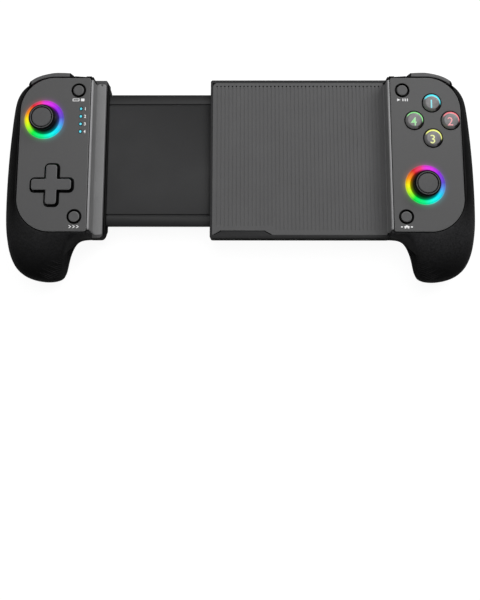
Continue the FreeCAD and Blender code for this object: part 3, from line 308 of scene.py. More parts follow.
def ring_finish(name, spot):
    f = Finish(name, Roughness=0.4, Specular_IOR_Level=0.1)
    hue, distance = hue_ramp(f, spot)
    rim = f.span(distance, RING_OUT - 0.8, RING_OUT, 1.0, 0.75)
    inside = f.span(distance, RING_IN, RING_IN + 0.6, 0.7, 1.0)
    grain = f.span(f.noise(1.2), 0.3, 0.7, 0.95, 1.05)
    f.set("Base Color", f.mix(0.96, hue, (0.01, 0.01, 0.01)))
    f.set("Emission Color", hue)
    f.set("Emission Strength", f.math("MULTIPLY", f.math("MULTIPLY", rim, inside), grain))
    f.set("Normal", f.bump(f.noise(0.3), 0.005))
    return f.material


def dome_finish(name, spot):
    """Black rubber dome that catches the colours of the light ring near its edge."""
    f = moulded(name, (0.005, 0.005, 0.0055), 0.35, 0.3, 0.005, 0.1, 0.1, Specular_IOR_Level=0.2)
    hue, distance = hue_ramp(f, spot)
    f.set("Emission Color", hue)
    f.set("Emission Strength", f.math("MULTIPLY", f.math("POWER", f.span(distance, 6.3, 8.6), 2.2), 0.5))
    return f.material


def light_finish():
    f = Finish("glow_cyan", Roughness=0.3)
    grain = f.noise(0.5)
    f.set("Base Color", f.ramp(grain, ((0.3, (0.08, 0.5, 0.55)), (0.7, (0.1, 0.6, 0.66)))))
    f.set("Emission Color", f.ramp(grain, ((0.3, (0.03, 0.42, 0.6)), (0.7, (0.08, 0.6, 0.78)))))
    f.set("Emission Strength", f.span(grain, 0.3, 0.7, 0.56, 0.72))
    f.set("Normal", f.bump(grain, 0.004))
    return f.material


def button_finish(name, spot, glow, bright, wide):
    """Clear button over a grey core. A crescent at its back is painted in the button's colour with a painted
    glow, and the clear rim is painted dark on its lower right as painted shade.
    """
    f = Finish(name, Coat_Weight=0.5, Coat_Roughness=0.12, Specular_IOR_Level=0.4)
    x, y, distance = f.polar(spot)
    inner = f.polar((spot[0] - 0.3, spot[1] - wide))[2]
    grain, cloud = f.noise(0.45, 3.0, 0.6), f.noise(1.6, 3.0, 0.6)
    core = f.mix(f.span(cloud, 0.35, 0.65), (0.215, 0.207, 0.212), (0.275, 0.265, 0.27))
    clear = f.ramp(grain, ((0.3, (0.2, 0.2, 0.202)), (0.7, (0.27, 0.27, 0.272))))
    # Painted shade: the clear rim turns black towards its lower right.
    painted_shade_side = f.math("SUBTRACT", f.math("MULTIPLY", x, 0.86), f.math("MULTIPLY", y, 0.51))
    painted_shade_side = f.math("DIVIDE", f.math("MULTIPLY", painted_shade_side, 1000.0), f.math("MAXIMUM", distance, 0.1))
    rim = f.mix(f.span(painted_shade_side, 0.72, 0.92, smooth=True), clear, (0.006, 0.006, 0.006))
    edge = f.span(distance, 3.75, 4.1, smooth=True)
    ahead = f.math("ADD", f.math("MULTIPLY", y, 0.94), f.math("MULTIPLY", x, 0.34))
    cosine = f.math("DIVIDE", f.math("MULTIPLY", ahead, 1000.0), f.math("MAXIMUM", distance, 0.1))
    lit = f.math("MULTIPLY", f.span(cosine, -0.05, 0.35, smooth=True), f.span(inner, 4.25, 4.42, smooth=True))
    lit = f.math("MULTIPLY", lit, f.span(distance, 4.62, 4.82, 1.0, 0.0, smooth=True))
    base = f.mix(edge, f.mix(f.span(grain, 0.3, 0.7, 0.0, 0.5), core, (0.22, 0.215, 0.22)), rim)
    f.set("Base Color", f.mix(lit, base, glow))
    # Painted glow on the crescent, paler towards its inner edge.
    f.set("Emission Color", f.mix(f.span(inner, 4.5, 4.9, 0.35, 0.0), glow, (1, 1, 1)))
    f.set("Emission Strength", f.math("MULTIPLY", lit, bright))
    f.set("Roughness", f.span(grain, 0.3, 0.7, 0.36, 0.48))
    f.set("Normal", f.bump(grain, 0.004))
    return f.material


def metal_finish(name, colour, rough, stretch):
    f = Finish(name, Metallic=1.0)
    brushed = f.noise(0.4, 3.0, 0.6, stretch)
    f.set("Base Color", f.ramp(brushed, ((0.3, tuple(c * 0.85 for c in colour)), (0.7, colour))))
    f.set("Roughness", f.span(brushed, 0.3, 0.7, rough - 0.06, rough + 0.08))
    f.set("Normal", f.bump(brushed, 0.006))
    return f.material


def ink_finish(name, colour, glow=0.0):
    f = Finish(name, Roughness=0.5, Emission_Strength=glow)
    fine = f.noise(0.25, 2.0)
    pair = ((0.3, tuple(c * 0.9 for c in colour)), (0.7, colour))
    f.set("Base Color", f.ramp(fine, pair))
    if glow:
        f.set("Emission Color", f.ramp(fine, pair))
    f.set("Normal", f.bump(fine, 0.003))
    return f.material


def board_finish():
    """Green solder mask with buried tracks and bare pads."""
    f = Finish("circuit_green", Roughness=0.35, Coat_Weight=0.3)
    cells = f.add("TexBrick", offset=0.5)
    f.put(f.place, cells.inputs["Vector"])
    cells.inputs["Scale"].default_value = 260.0
    cells.inputs["Mortar Size"].default_value = 0.06
    tracks = cells.outputs["Fac"]
    tint = f.mix(f.noise(6.0), (0.012, 0.10, 0.035), (0.02, 0.14, 0.05))
    f.set("Base Color", f.mix(tracks, tint, (0.03, 0.2, 0.07)))
    f.set("Normal", f.bump(tracks, 0.02))
    return f.material


# Colour, its name, and how far the crescent's inner edge is set forward in mm
DOME_COLOURS = {"top": ((0.06, 0.72, 0.82), "cyan", 0.95), "left": ((0.2, 0.68, 0.2), "green", 0.55),
                "right": ((0.8, 0.16, 0.19), "red", 0.7), "bottom": ((0.8, 0.84, 0.16), "yellow", 0.7)}

M = {
    # A lighter copy of the plate plastic, laid on top bevels as a painted highlight.
    "painted_edge_highlight": moulded("painted_edge_highlight", (0.22, 0.22, 0.222), 0.42, 0.3, 0.006, 0.03, 0.03,
                         Specular_IOR_Level=0.4).material,
    # The same black plastic twice: the left copy is darker as painted shade, the right copy lighter as
    # painted light.
    "shell_shaded_left": shell_finish("shell_black_shaded_left", 0.0078),
    "shell_lit_right": shell_finish("shell_black_lit_right", 0.0115),
    "grip_black": moulded("grip_black", (0.011, 0.011, 0.0115), 0.5, 0.3, 0.02, 0.12, 0.3,
                          Specular_IOR_Level=0.16).material,
    "tray_dark": moulded("tray_dark", (0.027, 0.027, 0.028), 0.55, 0.35, 0.02, 0.08, 0.1,
                         Specular_IOR_Level=0.25).material,
    "slide_dark": moulded("slide_dark", (0.022, 0.022, 0.023), 0.45, 0.3, 0.01, 0.05, 0.06,
                          Specular_IOR_Level=0.3).material,
    "pad_rubber": moulded("pad_rubber", (0.146, 0.146, 0.148), 0.72, 0.25, 0.012, 0.04, 0.05,
                          Specular_IOR_Level=0.25, Sheen_Weight=0.05).material,
    "liner_rubber": moulded("liner_rubber", (0.27, 0.27, 0.273), 0.62, 0.3, 0.012, 0.04, 0.05,
                            Specular_IOR_Level=0.3, Sheen_Weight=0.05).material,
    "strip_rubber": moulded("strip_rubber", (0.31, 0.31, 0.313), 0.62, 0.3, 0.012, 0.04, 0.05,
                            Specular_IOR_Level=0.3, Sheen_Weight=0.05).material,
    "ledge_grey": moulded("ledge_grey", (0.1, 0.1, 0.102), 0.55, 0.35, 0.02, 0.08, 0.1,
                          Specular_IOR_Level=0.25).material,
    # A pale copy of the liner rubber, laid on rolled top edges and the strip's edge as a painted highlight.
    "painted_liner_highlight": moulded("painted_liner_highlight", (0.46, 0.46, 0.465), 0.5, 0.3, 0.01, 0.04, 0.04,
                          Specular_IOR_Level=0.35).material,
    # Black for black parts, and black laid as painted shade in gaps, holes and shaded walls.
    "collar_black": moulded("collar_black", (0.003, 0.003, 0.003), 0.5, 0.3, 0.012, 0.1, 0.2,
                            Specular_IOR_Level=0.12).material,
    "bumper_grey": moulded("bumper_grey", (0.108, 0.108, 0.11), 0.42, 0.3, 0.008, 0.04, 0.04,
                           Specular_IOR_Level=0.35).material,
    "trigger_black": moulded("trigger_black", (0.012, 0.012, 0.013), 0.42, 0.4, 0.02, 0.1, 0.2,
                             Specular_IOR_Level=0.25).material,
    "button_grey": moulded("button_grey", (0.124, 0.124, 0.126), 0.5, 0.28, 0.01, 0.05, 0.05,
                           Specular_IOR_Level=0.35).material,
    "stick_rubber": moulded("stick_rubber", (0.128, 0.128, 0.13), 0.68, 0.22, 0.02, 0.05, 0.08,
                            Specular_IOR_Level=0.3, Sheen_Weight=0.06).material,
    "stick_black": moulded("stick_black", (0.004, 0.004, 0.0045), 0.45, 0.3, 0.006, 0.1, 0.1,
                           Specular_IOR_Level=0.15).material,
    "dome_left": dome_finish("stick_dome_left", LEFT_STICK),
    "dome_right": dome_finish("stick_dome_right", RIGHT_STICK),
    "glow_left": ring_finish("glow_ring_left", LEFT_STICK),
    "glow_right": ring_finish("glow_ring_right", RIGHT_STICK),
    "glow_cyan": light_finish(),
    "steel": metal_finish("steel", (0.56, 0.56, 0.57), 0.3, (1, 1, 12)),
    "circuit_green": board_finish(),
    "silicone": moulded("silicone", (0.5, 0.51, 0.53), 0.45, 0.5, 0.01, 0.04, 0.03).material,
    "slide_pom": moulded("slide_pom", (0.7, 0.69, 0.65), 0.4, 0.4, 0.008, 0.04, 0.03).material,
    "cell_wrap": moulded("cell_wrap", (0.33, 0.35, 0.38), 0.32, 1.5, 0.03, 0.08, 0.04, Metallic=0.3).material,
    "plate_left": plate_finish("face_charcoal_left", LEFT_STICK),
    "plate_right": plate_finish("face_charcoal_right", RIGHT_STICK),
    "print_white": ink_finish("print_white", (0.92, 0.92, 0.92), 0.25),
}
for side, (glow, word, wide) in DOME_COLOURS.items():
    M["dome_" + word] = button_finish("dome_" + word, FACE_BUTTONS[side], glow, 0.55, wide)
    M["ink_" + word] = ink_finish("ink_" + word, tuple(min(1.0, c * 0.8 + 0.25) for c in glow), 0.3)


# Pieces

def dress(obj, material, body, replaces=(), angle=35):
    """Gives a piece its finish and smooth faces, and ties it to the frame."""
    obj.data.materials.clear()
    obj.data.materials.append(M[material])
    if angle:
        obj.data.shade_smooth()
        obj.data.set_sharp_from_angle(angle=math.radians(angle))
    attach(obj, body)
    if replaces:
        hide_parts(*replaces)
    return obj


def repaint(obj, material, wanted):
    """Gives the faces for which wanted(centre in mm, normal) holds a second finish."""
    obj.data.materials.append(M[material])
    last = len(obj.data.materials) - 1
    for face in obj.data.polygons:
        if wanted(face.center / MM, face.normal):
            face.material_index = last


def tidy(mesh, weld=1e-6):
    form = bmesh.new()
    form.from_mesh(mesh)
    bmesh.ops.remove_doubles(form, verts=form.verts, dist=weld)
    bmesh.ops.recalc_face_normals(form, faces=form.faces)
    form.to_mesh(mesh)
    form.free()


def piece(name, verts, faces, material, body, replaces=(), angle=35):
    mesh = bpy.data.meshes.new(name)
    mesh.from_pydata([tuple(c * MM for c in v) for v in verts], [], faces)
    tidy(mesh)
    obj = bpy.data.objects.new(name, mesh)
    bpy.context.scene.collection.objects.link(obj)
    return dress(obj, material, body, replaces, angle)


def curve_mesh(curve, name):
    """A curve turned into a plain mesh object."""
    draft = bpy.data.objects.new(name + "_draft", curve)
    bpy.context.scene.collection.objects.link(draft)
    bpy.context.view_layer.update()
    mesh = bpy.data.meshes.new_from_object(draft.evaluated_get(bpy.context.evaluated_depsgraph_get()))
    bpy.data.objects.remove(draft)
    bpy.data.curves.remove(curve)
    mesh.name = name
    obj = bpy.data.objects.new(name, mesh)
    bpy.context.scene.collection.objects.link(obj)
    return obj


def slab(name, lines, z0, z1, bevel, material, body, replaces=(), angle=35, steps=2):
    """A flat piece with rounded edges. The first line is its outline and the others are holes."""
    curve = bpy.data.curves.new(name, "CURVE")
    curve.dimensions = "2D"
    curve.fill_mode = "BOTH"
    curve.extrude = ((z1 - z0) / 2 - bevel) * MM
    curve.bevel_depth = bevel * MM
    curve.bevel_resolution = steps
    curve.offset = -bevel * MM
    for line in lines:
        spline = curve.splines.new("POLY")
        spline.points.add(len(line) - 1)
        for spot, (x, y) in zip(spline.points, line):
            spot.co = (x * MM, y * MM, 0.0, 1.0)
        spline.use_cyclic_u = True
    obj = curve_mesh(curve, name)
    obj.data.transform(Matrix.Translation((0, 0, (z0 + z1) / 2 * MM)))
    tidy(obj.data)
    dress(obj, material, body, replaces, angle)
    if bevel:
        weighted(obj)
    return obj


def weighted(obj):
    flat = obj.modifiers.new("even_shading", "WEIGHTED_NORMAL")
    flat.keep_sharp = True
    flat.weight = 80


def digit(name, text, x, y, z, size, material, body, bold=0.0, thick=0.03):
    """A plain number printed on a face."""
    curve = bpy.data.curves.new(name, "FONT")
    curve.body = text
    curve.size = size * MM * 1.38
    curve.align_x, curve.align_y = "CENTER", "CENTER"
    curve.extrude = thick / 2 * MM
    curve.offset = bold * MM
    obj = curve_mesh(curve, name)
    obj.data.transform(Matrix.Translation((x * MM, y * MM, z * MM)))
    tidy(obj.data)
    return dress(obj, material, body, (), 35)


def revolve(name, profile, x, y, material, body, slot=None, replaces=(), angle=35, steps=96):
    """A turned piece about the upright axis through (x, y). The profile has (radius, z) points."""
    verts, rings = [], []
    for r, z in profile:
        count = steps if r > 1e-6 else 1
        rings.append([len(verts) + k for k in range(count)])
        for k in range(count):
            a = 2 * math.pi * k / steps
            verts.append((x + r * math.cos(a), y + r * math.sin(a), z))
    faces = []
    for low, high in zip(rings, rings[1:]):
        for k in range(steps):
            a, b = low[k % len(low)], low[(k + 1) % len(low)]
            c, d = high[(k + 1) % len(high)], high[k % len(high)]
            corner = [a, b, c, d]
            face = [v for i, v in enumerate(corner) if v not in corner[:i]]
            if len(face) > 2:
                faces.append(face)
    return piece(name, verts, faces, material, body, replaces, angle)


def loft(name, sections, material, body, replaces=(), angle=35):
    """A closed form through closed sections of 3D points, capped at both ends."""
    count = len(sections[0])
    verts = [p for section in sections for p in section]
    faces = []
    for low in range(0, len(verts) - count, count):
        for k in range(count):
            after = (k + 1) % count
            faces.append([low + k, low + after, low + count + after, low + count + k])
    faces += [list(range(count)), [len(verts) - count + k for k in range(count)]]
    return piece(name, verts, faces, material, body, replaces, angle)


def turned(line, sx):
    return [(sx * x, y) for x, y in line]


# Face plates

SEAM_FILL = (83.2, 86.0, 54.95, 55.65)  # dark fill behind a plate's inner corner


def plate_line():
    """Outline of the right plate."""
    corners = [(PLATE_IN, PLATE_FRONT), (PLATE_OUT, PLATE_FRONT), (PLATE_OUT, PLATE_BACK),
               (PLATE_IN, PLATE_BACK)]
    return soften(corners, [PLATE_INNER_CORNER, PLATE_CORNER, PLATE_CORNER, PLATE_INNER_CORNER])


def plate(body, side, sx, stick, holes):
    lines = [turned(plate_line(), sx), circle(*stick, RING_OUT + 0.1, 120)]
    lines += [circle(sx * SMALL_X, y, SMALL_HOLE) for y in (SMALL_BACK, SMALL_FRONT)] + holes
    made = slab(side + "_plate", lines, PLATE_LOW, FACE_Z, 0.42, "plate_" + side, body,
                [side + "_face_plate"], 40, 3)
    # Painted highlight on the top bevel of the plate's outline.
    repaint(made, "painted_edge_highlight", lambda c, n: c.z > FACE_Z - 0.36 and 0.3 < n.z < 0.97 and outer_edge(c))
    # Painted shade: the walls of the button, pad and light holes are black.
    repaint(made, "collar_black", lambda c, n: -0.5 < n.z < 0.8 and not outer_edge(c)
            and math.hypot(c.x - stick[0], c.y - stick[1]) > RING_OUT + 1)
    slab(side + "_seam_fill", [turned(rect(*SEAM_FILL), sx)], 29.0, 31.1, 0.0, "collar_black", body)


def outer_edge(c):
    """Whether a place lies at the outline of a plate, away from its holes."""
    beside = abs(c.x) > PLATE_OUT - EDGE_WIDTH or abs(c.x) < PLATE_IN + EDGE_WIDTH
    ahead = c.y > PLATE_BACK - EDGE_WIDTH or c.y < PLATE_FRONT + EDGE_WIDTH
    past_x = max(abs(c.x) - (PLATE_OUT - PLATE_CORNER), 0)
    past_y = max(c.y - (PLATE_BACK - PLATE_CORNER), PLATE_FRONT + PLATE_CORNER - c.y, 0)
    return beside or ahead or math.hypot(past_x, past_y) > PLATE_CORNER - EDGE_WIDTH


light_spots = [(LIGHTS_X, LIGHTS_Y - i * LIGHT_PITCH) for i in range(4)]
plate(LEFT, "left", -1, LEFT_STICK,
      [cross(*DPAD, DPAD_HOLE_REACH, DPAD_HOLE_WIDTH, 2.6, 0.5)]
      + [circle(x, y, 0.86, 24, 1.15) for x, y in light_spots])
plate(RIGHT, "right", 1, RIGHT_STICK, [circle(*spot, BUTTON_HOLE) for spot in FACE_BUTTONS.values()])

# Light rings and thumbsticks

NUB_REACH = 5.6
for body, side, spot in ((LEFT, "left", LEFT_STICK), (RIGHT, "right", RIGHT_STICK)):
    ring = [(RING_IN, 31.1), (RING_IN, 31.55), (RING_IN + 0.5, 31.88), (RING_OUT - 0.5, 31.88),
            (RING_OUT, 31.55), (RING_OUT, 29.4), (11.5, 29.4), (11.5, 28.3), (10.2, 28.3), (10.2, 30.0)]
    ring = soften(ring, [0.1, 0.25, 0.3, 0.3, 0.25, 0.05, 0.1, 0.1, 0.1, 0.3], steps=4)
    revolve(side + "_ring", ring + [ring[0]], *spot, "glow_" + side, body, "glow_ring",
            [side + "_light_ring"], 50, 128)

    cap = side + "_stick_cap"
    top = STICK_TOP
    dome = [(DOME_RADIUS * math.sin(a), STICK_PIVOT_Z + DOME_RADIUS * math.cos(a))
            for a in [math.radians(17 + i * 4) for i in range(14)]]
    inner = [(r * 9.7 / 11, STICK_PIVOT_Z + (z - STICK_PIVOT_Z) * 9.7 / 11) for r, z in reversed(dome)]
    revolve(side + "_stick_dome", dome + inner + [dome[0]], *spot, "dome_" + side, cap, "stick_rubber",
            [cap], 40, 96)
    head = [(1.56, 33.4), (3.9, 33.4), (3.3, 34.2), (3.2, top - 2.5), (5.6, top - 2.4), (6.9, top - 2.0),
            (7.3, top - 1.5), (7.2, top - 1.0), (6.4, top - 0.2), (5.9, top - 0.3), (5.75, top - 1.2),
            (1.56, top - 1.2)]
    head = soften(head, [0, 0.3, 0.4, 0.5, 0.6, 0.4, 0.3, 0.4, 0.25, 0.1, 0.1, 0], steps=4)
    revolve(side + "_stick_head", head + [head[0]], *spot, "stick_black", cap, "stick_rubber", (), 40, 96)
    edge = [(5.82, top - 0.6), (5.88, top - 0.06), (6.28, top - 0.06), (6.42, top - 0.5)]
    edge = soften(edge, [0, 0.14, 0.16, 0], False, 4)
    revolve(side + "_stick_edge", edge + [edge[0]], *spot, "stick_rubber", cap, "stick_rubber", (), 40, 96)
    disc = soften([(0, top - 0.3), (5.0, top - 0.22), (5.3, top - 0.5), (5.3, top - 1.15), (0, top - 1.15)],
                  [0, 0.25, 0.15, 0, 0], False, 4)
    revolve(side + "_stick_disc", disc, *spot, "stick_rubber", cap, "stick_rubber", (), 40, 96)
    nub = [(0, top - 0.12), (0.3, top - 0.16), (0.5, top - 0.45), (0.5, top - 1.1), (0, top - 1.1)]
    nub = soften(nub, [0, 0.2, 0.2, 0, 0], False, 3)
    for k, (dx, dy) in enumerate(((1, 0), (0, 1), (-1, 0), (0, -1))):
        revolve("%s_stick_nub_%d" % (side, k + 1), nub, spot[0] + dx * NUB_REACH, spot[1] + dy * NUB_REACH,
                "stick_black", cap, "stick_rubber", (), 50, 20)

# Small buttons

for name, x, y, body in (("select", -SMALL_X, SMALL_BACK, LEFT), ("turbo", -SMALL_X, SMALL_FRONT, LEFT),
                         ("start", SMALL_X, SMALL_BACK, RIGHT), ("home", SMALL_X, SMALL_FRONT, RIGHT)):
    node = name + "_button"
    top = FACE_Z + 0.5
    profile = [(0, top - 0.12), (2.0, top), (2.5, top), (SMALL_RADIUS, top - 0.4), (SMALL_RADIUS, 29.2),
               (4.35, 29.2), (4.35, 28.4), (1.3, 28.4), (1.3, 24.6), (0, 24.6)]
    profile = soften(profile, [0, 0.8, 0.3, 0.3, 0.1, 0.1, 0.1, 0.1, 0.1, 0], False, 4)
    made = revolve(name + "_cap", profile, x, y, "button_grey", node, "button_grey", [node], 40, 72)
    # Painted shade: the flange below the cap is black, so the gap round the cap looks dark.
    repaint(made, "collar_black", lambda c, n: c.z < 31.2)
    # Painted highlight on the cap's rounded top edge.
    repaint(made, "painted_edge_highlight", lambda c, n: c.z > 31.5 and n.z < 0.93)

# Printed marks in front of the small buttons

MARK_DROP, MARK_STRETCH = 5.5, 1.22

def mark(name, lines, x, y, body):
    """White ink on a face plate. Lines are outlines about the mark's middle, a hole follows its outline."""
    moved = [[(x + px * MARK_STRETCH, y + py) for px, py in line] for line in lines]
    slab(name, moved, FACE_Z + 0.005, FACE_Z + 0.035, 0.0, "print_white", body, (), 35)


def frame_lines(x0, x1, y0, y1, wide):
    return [rect(x0, x1, y0, y1, 0.25), rect(x0 + wide, x1 - wide, y0 + wide, y1 - wide, 0.1)]


arrow = [(-0.9, -0.75), (-0.4, -0.75), (0.5, 0.0), (-0.4, 0.75), (-0.9, 0.75), (0.0, 0.0)]
arrows = [[(x + dx, y) for x, y in arrow] for dx in (-1.5, 0.2, 1.9)]
triangle = [(-2.4, -0.8), (-0.9, 0.0), (-2.4, 0.8)]
bars = [rect(x, x + 0.45, -0.75, 0.75, 0.1) for x in (0.0, 1.0, 2.0)]
house = [(-1.5, -0.05), (0.0, 0.95), (1.5, -0.05), (1.05, -0.05), (1.05, -0.85), (0.35, -0.85), (0.35, -0.3),
         (-0.35, -0.3), (-0.35, -0.85), (-1.05, -0.85), (-1.05, -0.05)]
dashes = [rect(x, x + 0.8, -0.35, 0.35, 0.1) for x in (-2.6, 1.8)]
mark("select_mark", frame_lines(-2.6, 0.5, -0.75, 0.75, 0.32) + [rect(1.2, 2.8, -0.75, 0.75, 0.2)], -SMALL_X,
     SMALL_BACK - MARK_DROP, LEFT)
mark("turbo_mark", arrows, -SMALL_X, SMALL_FRONT - MARK_DROP, LEFT)
mark("start_mark", [triangle] + bars, SMALL_X, SMALL_BACK - MARK_DROP, RIGHT)
mark("home_mark", [house] + dashes, SMALL_X, SMALL_FRONT - MARK_DROP, RIGHT)

# Face buttons

for side, spot in FACE_BUTTONS.items():
    node, word = side + "_face_button", DOME_COLOURS[side][1]
    t = BUTTON_TOP
    profile = [(0, t), (1.8, t - 0.05), (3.6, t - 0.24), (4.0, t - 0.5), (4.45, t - 0.95), (4.8, t - 1.4),
               (BUTTON_RADIUS, t - 1.9), (BUTTON_RADIUS, 29.2), (5.8, 29.2), (5.8, 28.2),
               (BUTTON_RADIUS, 28.2), (BUTTON_RADIUS, 26.2), (0, 26.2)]
    profile = soften(profile, [0, 2, 0.4, 0.6, 1, 1, 0.4, 0.1, 0.1, 0.1, 0.1, 0.2, 0], False, 4)
    made = revolve(side + "_button", profile, *spot, "dome_" + word, node, "dome_" + word, [node], 40, 96)
    # Painted shade: the flange below the dome is black, so the gap round the button looks dark.
    repaint(made, "collar_black", lambda c, n: c.z < 30.6)
    digit(side + "_number", FACE_NUMBERS[side], spot[0] - 0.6, spot[1] - 1.25, t - 0.11, 4.9, "ink_" + word,
          node, 0.04, 0.26)

# Cross pad

line = cross(DPAD[0] + DPAD_SHIFT[0], DPAD[1] + DPAD_SHIFT[1], DPAD_REACH, DPAD_WIDTH, 1.5, 0.4)
made = slab("cross_pad", [line], 28.9, 32.9, 0.5, "button_grey", "dpad", ["dpad"], 40, 3)
# Painted highlight on the pad's top bevel.
repaint(made, "painted_edge_highlight", lambda c, n: c.z > 32.4 and 0.3 < n.z < 0.97)
# Painted shade: the pad's sides are black.
repaint(made, "collar_black", lambda c, n: c.z < 32.45 and n.z < 0.35)
# A black flange under the pad, a real part drawn black as painted shade seen through the gap round the pad.
line = cross(*DPAD, DPAD_REACH + 0.8, DPAD_WIDTH + 1.6, 1.8, 0.4)
slab("cross_skirt", [line], 27.6, 28.3, 0.0, "collar_black", "dpad", (), 40)

# Indicator lights and their numbers

for i, (x, y) in enumerate(light_spots):
    extra = ["indicator_lights"] if i == 0 else ()
    slab("light_%d" % (i + 1), [circle(x, y, 0.68, 24, 1.14)], PLATE_LOW - 0.6, FACE_Z + 0.02, 0.12,
         "glow_cyan", LEFT, extra, 40)
    # Painted shade: a black ring fills the gap round each light and edges the hole.
    rim = [circle(x, y, 0.95, 24, 1.12), circle(x, y, 0.69, 24, 1.14)]
    slab("light_edge_%d" % (i + 1), rim, FACE_Z - 0.2, FACE_Z + 0.02, 0.0, "collar_black", LEFT,
         (), 40)
    digit("light_number_%d" % (i + 1), str(i + 1), x + 2.4, y - 0.1, FACE_Z + 0.015, 1.75, "print_white",
          LEFT, 0.05)

# Ribbed pad

PAD_LEFT, PAD_RIGHT, PAD_FRONT, PAD_BACK = -15.6, 81.7, -32.15, 55.1
TAB_FROM, TAB_TO = -14.9, 17.6
outline = [(PAD_LEFT, PAD_BACK), (PAD_LEFT, PAD_FRONT + 0.3), (TAB_FROM - 0.3, PAD_FRONT),
           (TAB_FROM + 4.0, PAD_FRONT + 2.4), (TAB_TO - 4.0, PAD_FRONT + 2.4), (TAB_TO + 0.5, PAD_FRONT),
           (PAD_RIGHT, PAD_FRONT), (PAD_RIGHT, PAD_BACK)]
outline = soften(outline, [2.6, 0.3, 0.3, 0.5, 0.5, 0.3, 0.9, 0.9])
PAD_MARGIN, RIB_PITCH, GROOVE_HALF = 2.3, 2.2, 0.3
count = int((PAD_RIGHT - PAD_LEFT - 2 * PAD_MARGIN) / RIB_PITCH)
grooves, dots = [], []
for i in range(count + 1):
    x = PAD_LEFT + PAD_MARGIN + RIB_PITCH * i
    y0 = PAD_FRONT + (4.8 if TAB_FROM - 1.5 < x < TAB_TO + 1.5 else 2.4)
    grooves.append(rect(x - GROOVE_HALF, x + GROOVE_HALF, y0, PAD_BACK - 2.8, GROOVE_HALF * 0.98))
    dots.append(circle(x, PAD_BACK - 2.0, 0.42, 16))
slab("pad_top", [outline] + grooves + dots, BED_Z - 0.22, BED_Z + 0.02, 0.08, "pad_rubber", RIGHT,
     ["ribbed_phone_pad"], 40)
slab("pad_base", [outline] + dots, 18.0, 19.8, 0.05, "pad_rubber", RIGHT, (), 40)

# Ribs and beads: rows of points along half a circle, joined into a skin

ARC = 6


def skin(faces, first, rows):
    """Adds the faces between rows of ARC + 1 points each."""
    for i in range(rows - 1):
        for k in range(ARC):
            a = first + i * (ARC + 1) + k
            faces.append([a, a + 1, a + ARC + 2, a + ARC + 1])


def capsule(verts, faces, x, y0, y1, z0, z1, half, ends):
    """Adds a low rib with round ends and a round back to verts and faces."""
    arc = [(math.cos(math.pi * k / ARC), math.sin(math.pi * k / ARC)) for k in range(ARC + 1)]
    turns = [math.pi / 2 * k / ends for k in range(ends + 1)]
    stations = [(y0 + half * (1 - math.cos(a)), math.sin(a)) for a in turns]
    stations += [(y0 + y1 - y, w) for y, w in reversed(stations)]
    first = len(verts)
    for y, w in stations:
        w = max(w, 0.02)
        for c, s in arc:
            verts.append((x + half * c * w, y, z0 + (z1 - z0) * s * math.sqrt(w)))
    skin(faces, first, len(stations))


# Wall liners: a small hollow round at the foot, a rolled top edge with a painted highlight and a beaded seam
# behind it

LINER_FRONT, LINER_BACK, LINER_LEAN = -31.2, 53.85, 0.06
BEAD_X, BEAD_LENGTH, BEAD_PITCH = 83.42, 0.62, 1.02
for body, side, sx in UNITS:
    line = [(SHELL_IN, BED_Z), (SHELL_IN, 29.4), (83.3, 29.4), (83.3, 30.75), (82.95, 31.05), (82.45, 30.9),
            (82.1, 30.35), (LINER_FACE, 29.5), (LINER_FACE, 21.0), (81.9, 20.4), (81.6, BED_Z)]
    line = soften(line, [0, 0, 0, 0.2, 0.3, 0.4, 0.5, 0.6, 0.5, 0.3, 0], steps=3)
    sections = []
    ends = [(0.0, 0.8), (0.2, 0.92), (0.6, 0.98), (1.2, 1.0)]
    stations = [(LINER_FRONT + a, w, LINER_LEAN) for a, w in ends]
    stations += [(LINER_BACK - a, w, 0.0) for a, w in reversed(ends)]
    for y, w, lean in stations:
        sections.append([(sx * (SHELL_IN + (x - SHELL_IN) * w), y + lean * (z - BED_Z), 25.0 + (z - 25.0) * w)
                         for x, z in line])
    made = loft(side + "_liner", sections, "liner_rubber", body, [side + "_wall_liner"], 50)
    # Painted highlight on the upward faces of the rolled top edge.
    repaint(made, "painted_liner_highlight", lambda c, n: c.z > 30.0 and n.z > 0.15)
    verts, faces = [], []
    y = LINER_FRONT + 1.0
    while y < LINER_BACK - 1.2:
        capsule(verts, faces, sx * BEAD_X, y, y + BEAD_LENGTH, 30.7, 31.3, 0.2, 3)
        y += BEAD_PITCH
    piece(side + "_seam_beads", verts, faces, "collar_black", body, (), 60)

# Strip on the left ledge

strip = [rect(-81.85, -76.9, -32.3, 54.5, 1.2), circle(-79.3, 53.6, 0.42, 16)]
made = slab("ledge_strip", strip, 17.8, BED_Z, 0.3, "strip_rubber", LEFT, ["clamp_pad"],
            40, 3)
# Painted highlight along the strip's right edge.
repaint(made, "painted_liner_highlight", lambda c, n: c.x > -77.25 and n.x > 0.3)

# Bumpers: a grey bar with black ends, parted from the plate by a seam that widens outwards

BUMPER_ENDS, BUMPER_OUT, BUMPER_LOW = (95.45, 117.2), 118.4, 19.4
BUMPER_REACH, BUMPER_WIDENS = 19.35, 0.9  # radius of the front edge about the plate's corner, and its growth
BUMPER_BACK = [(93.1, 55.65), (95.3, 57.7), (99.8, 57.9), (104.5, 57.8), (110.3, 56.6), (114.5, 55.0),
               (117.7, 52.9), (BUMPER_OUT, 51.3)]
BUMPER_TIP = [(92.8, 55.3), (95.6, 55.5), (95.6, 57.72), (95.25, 57.68), (92.8, 55.7)]


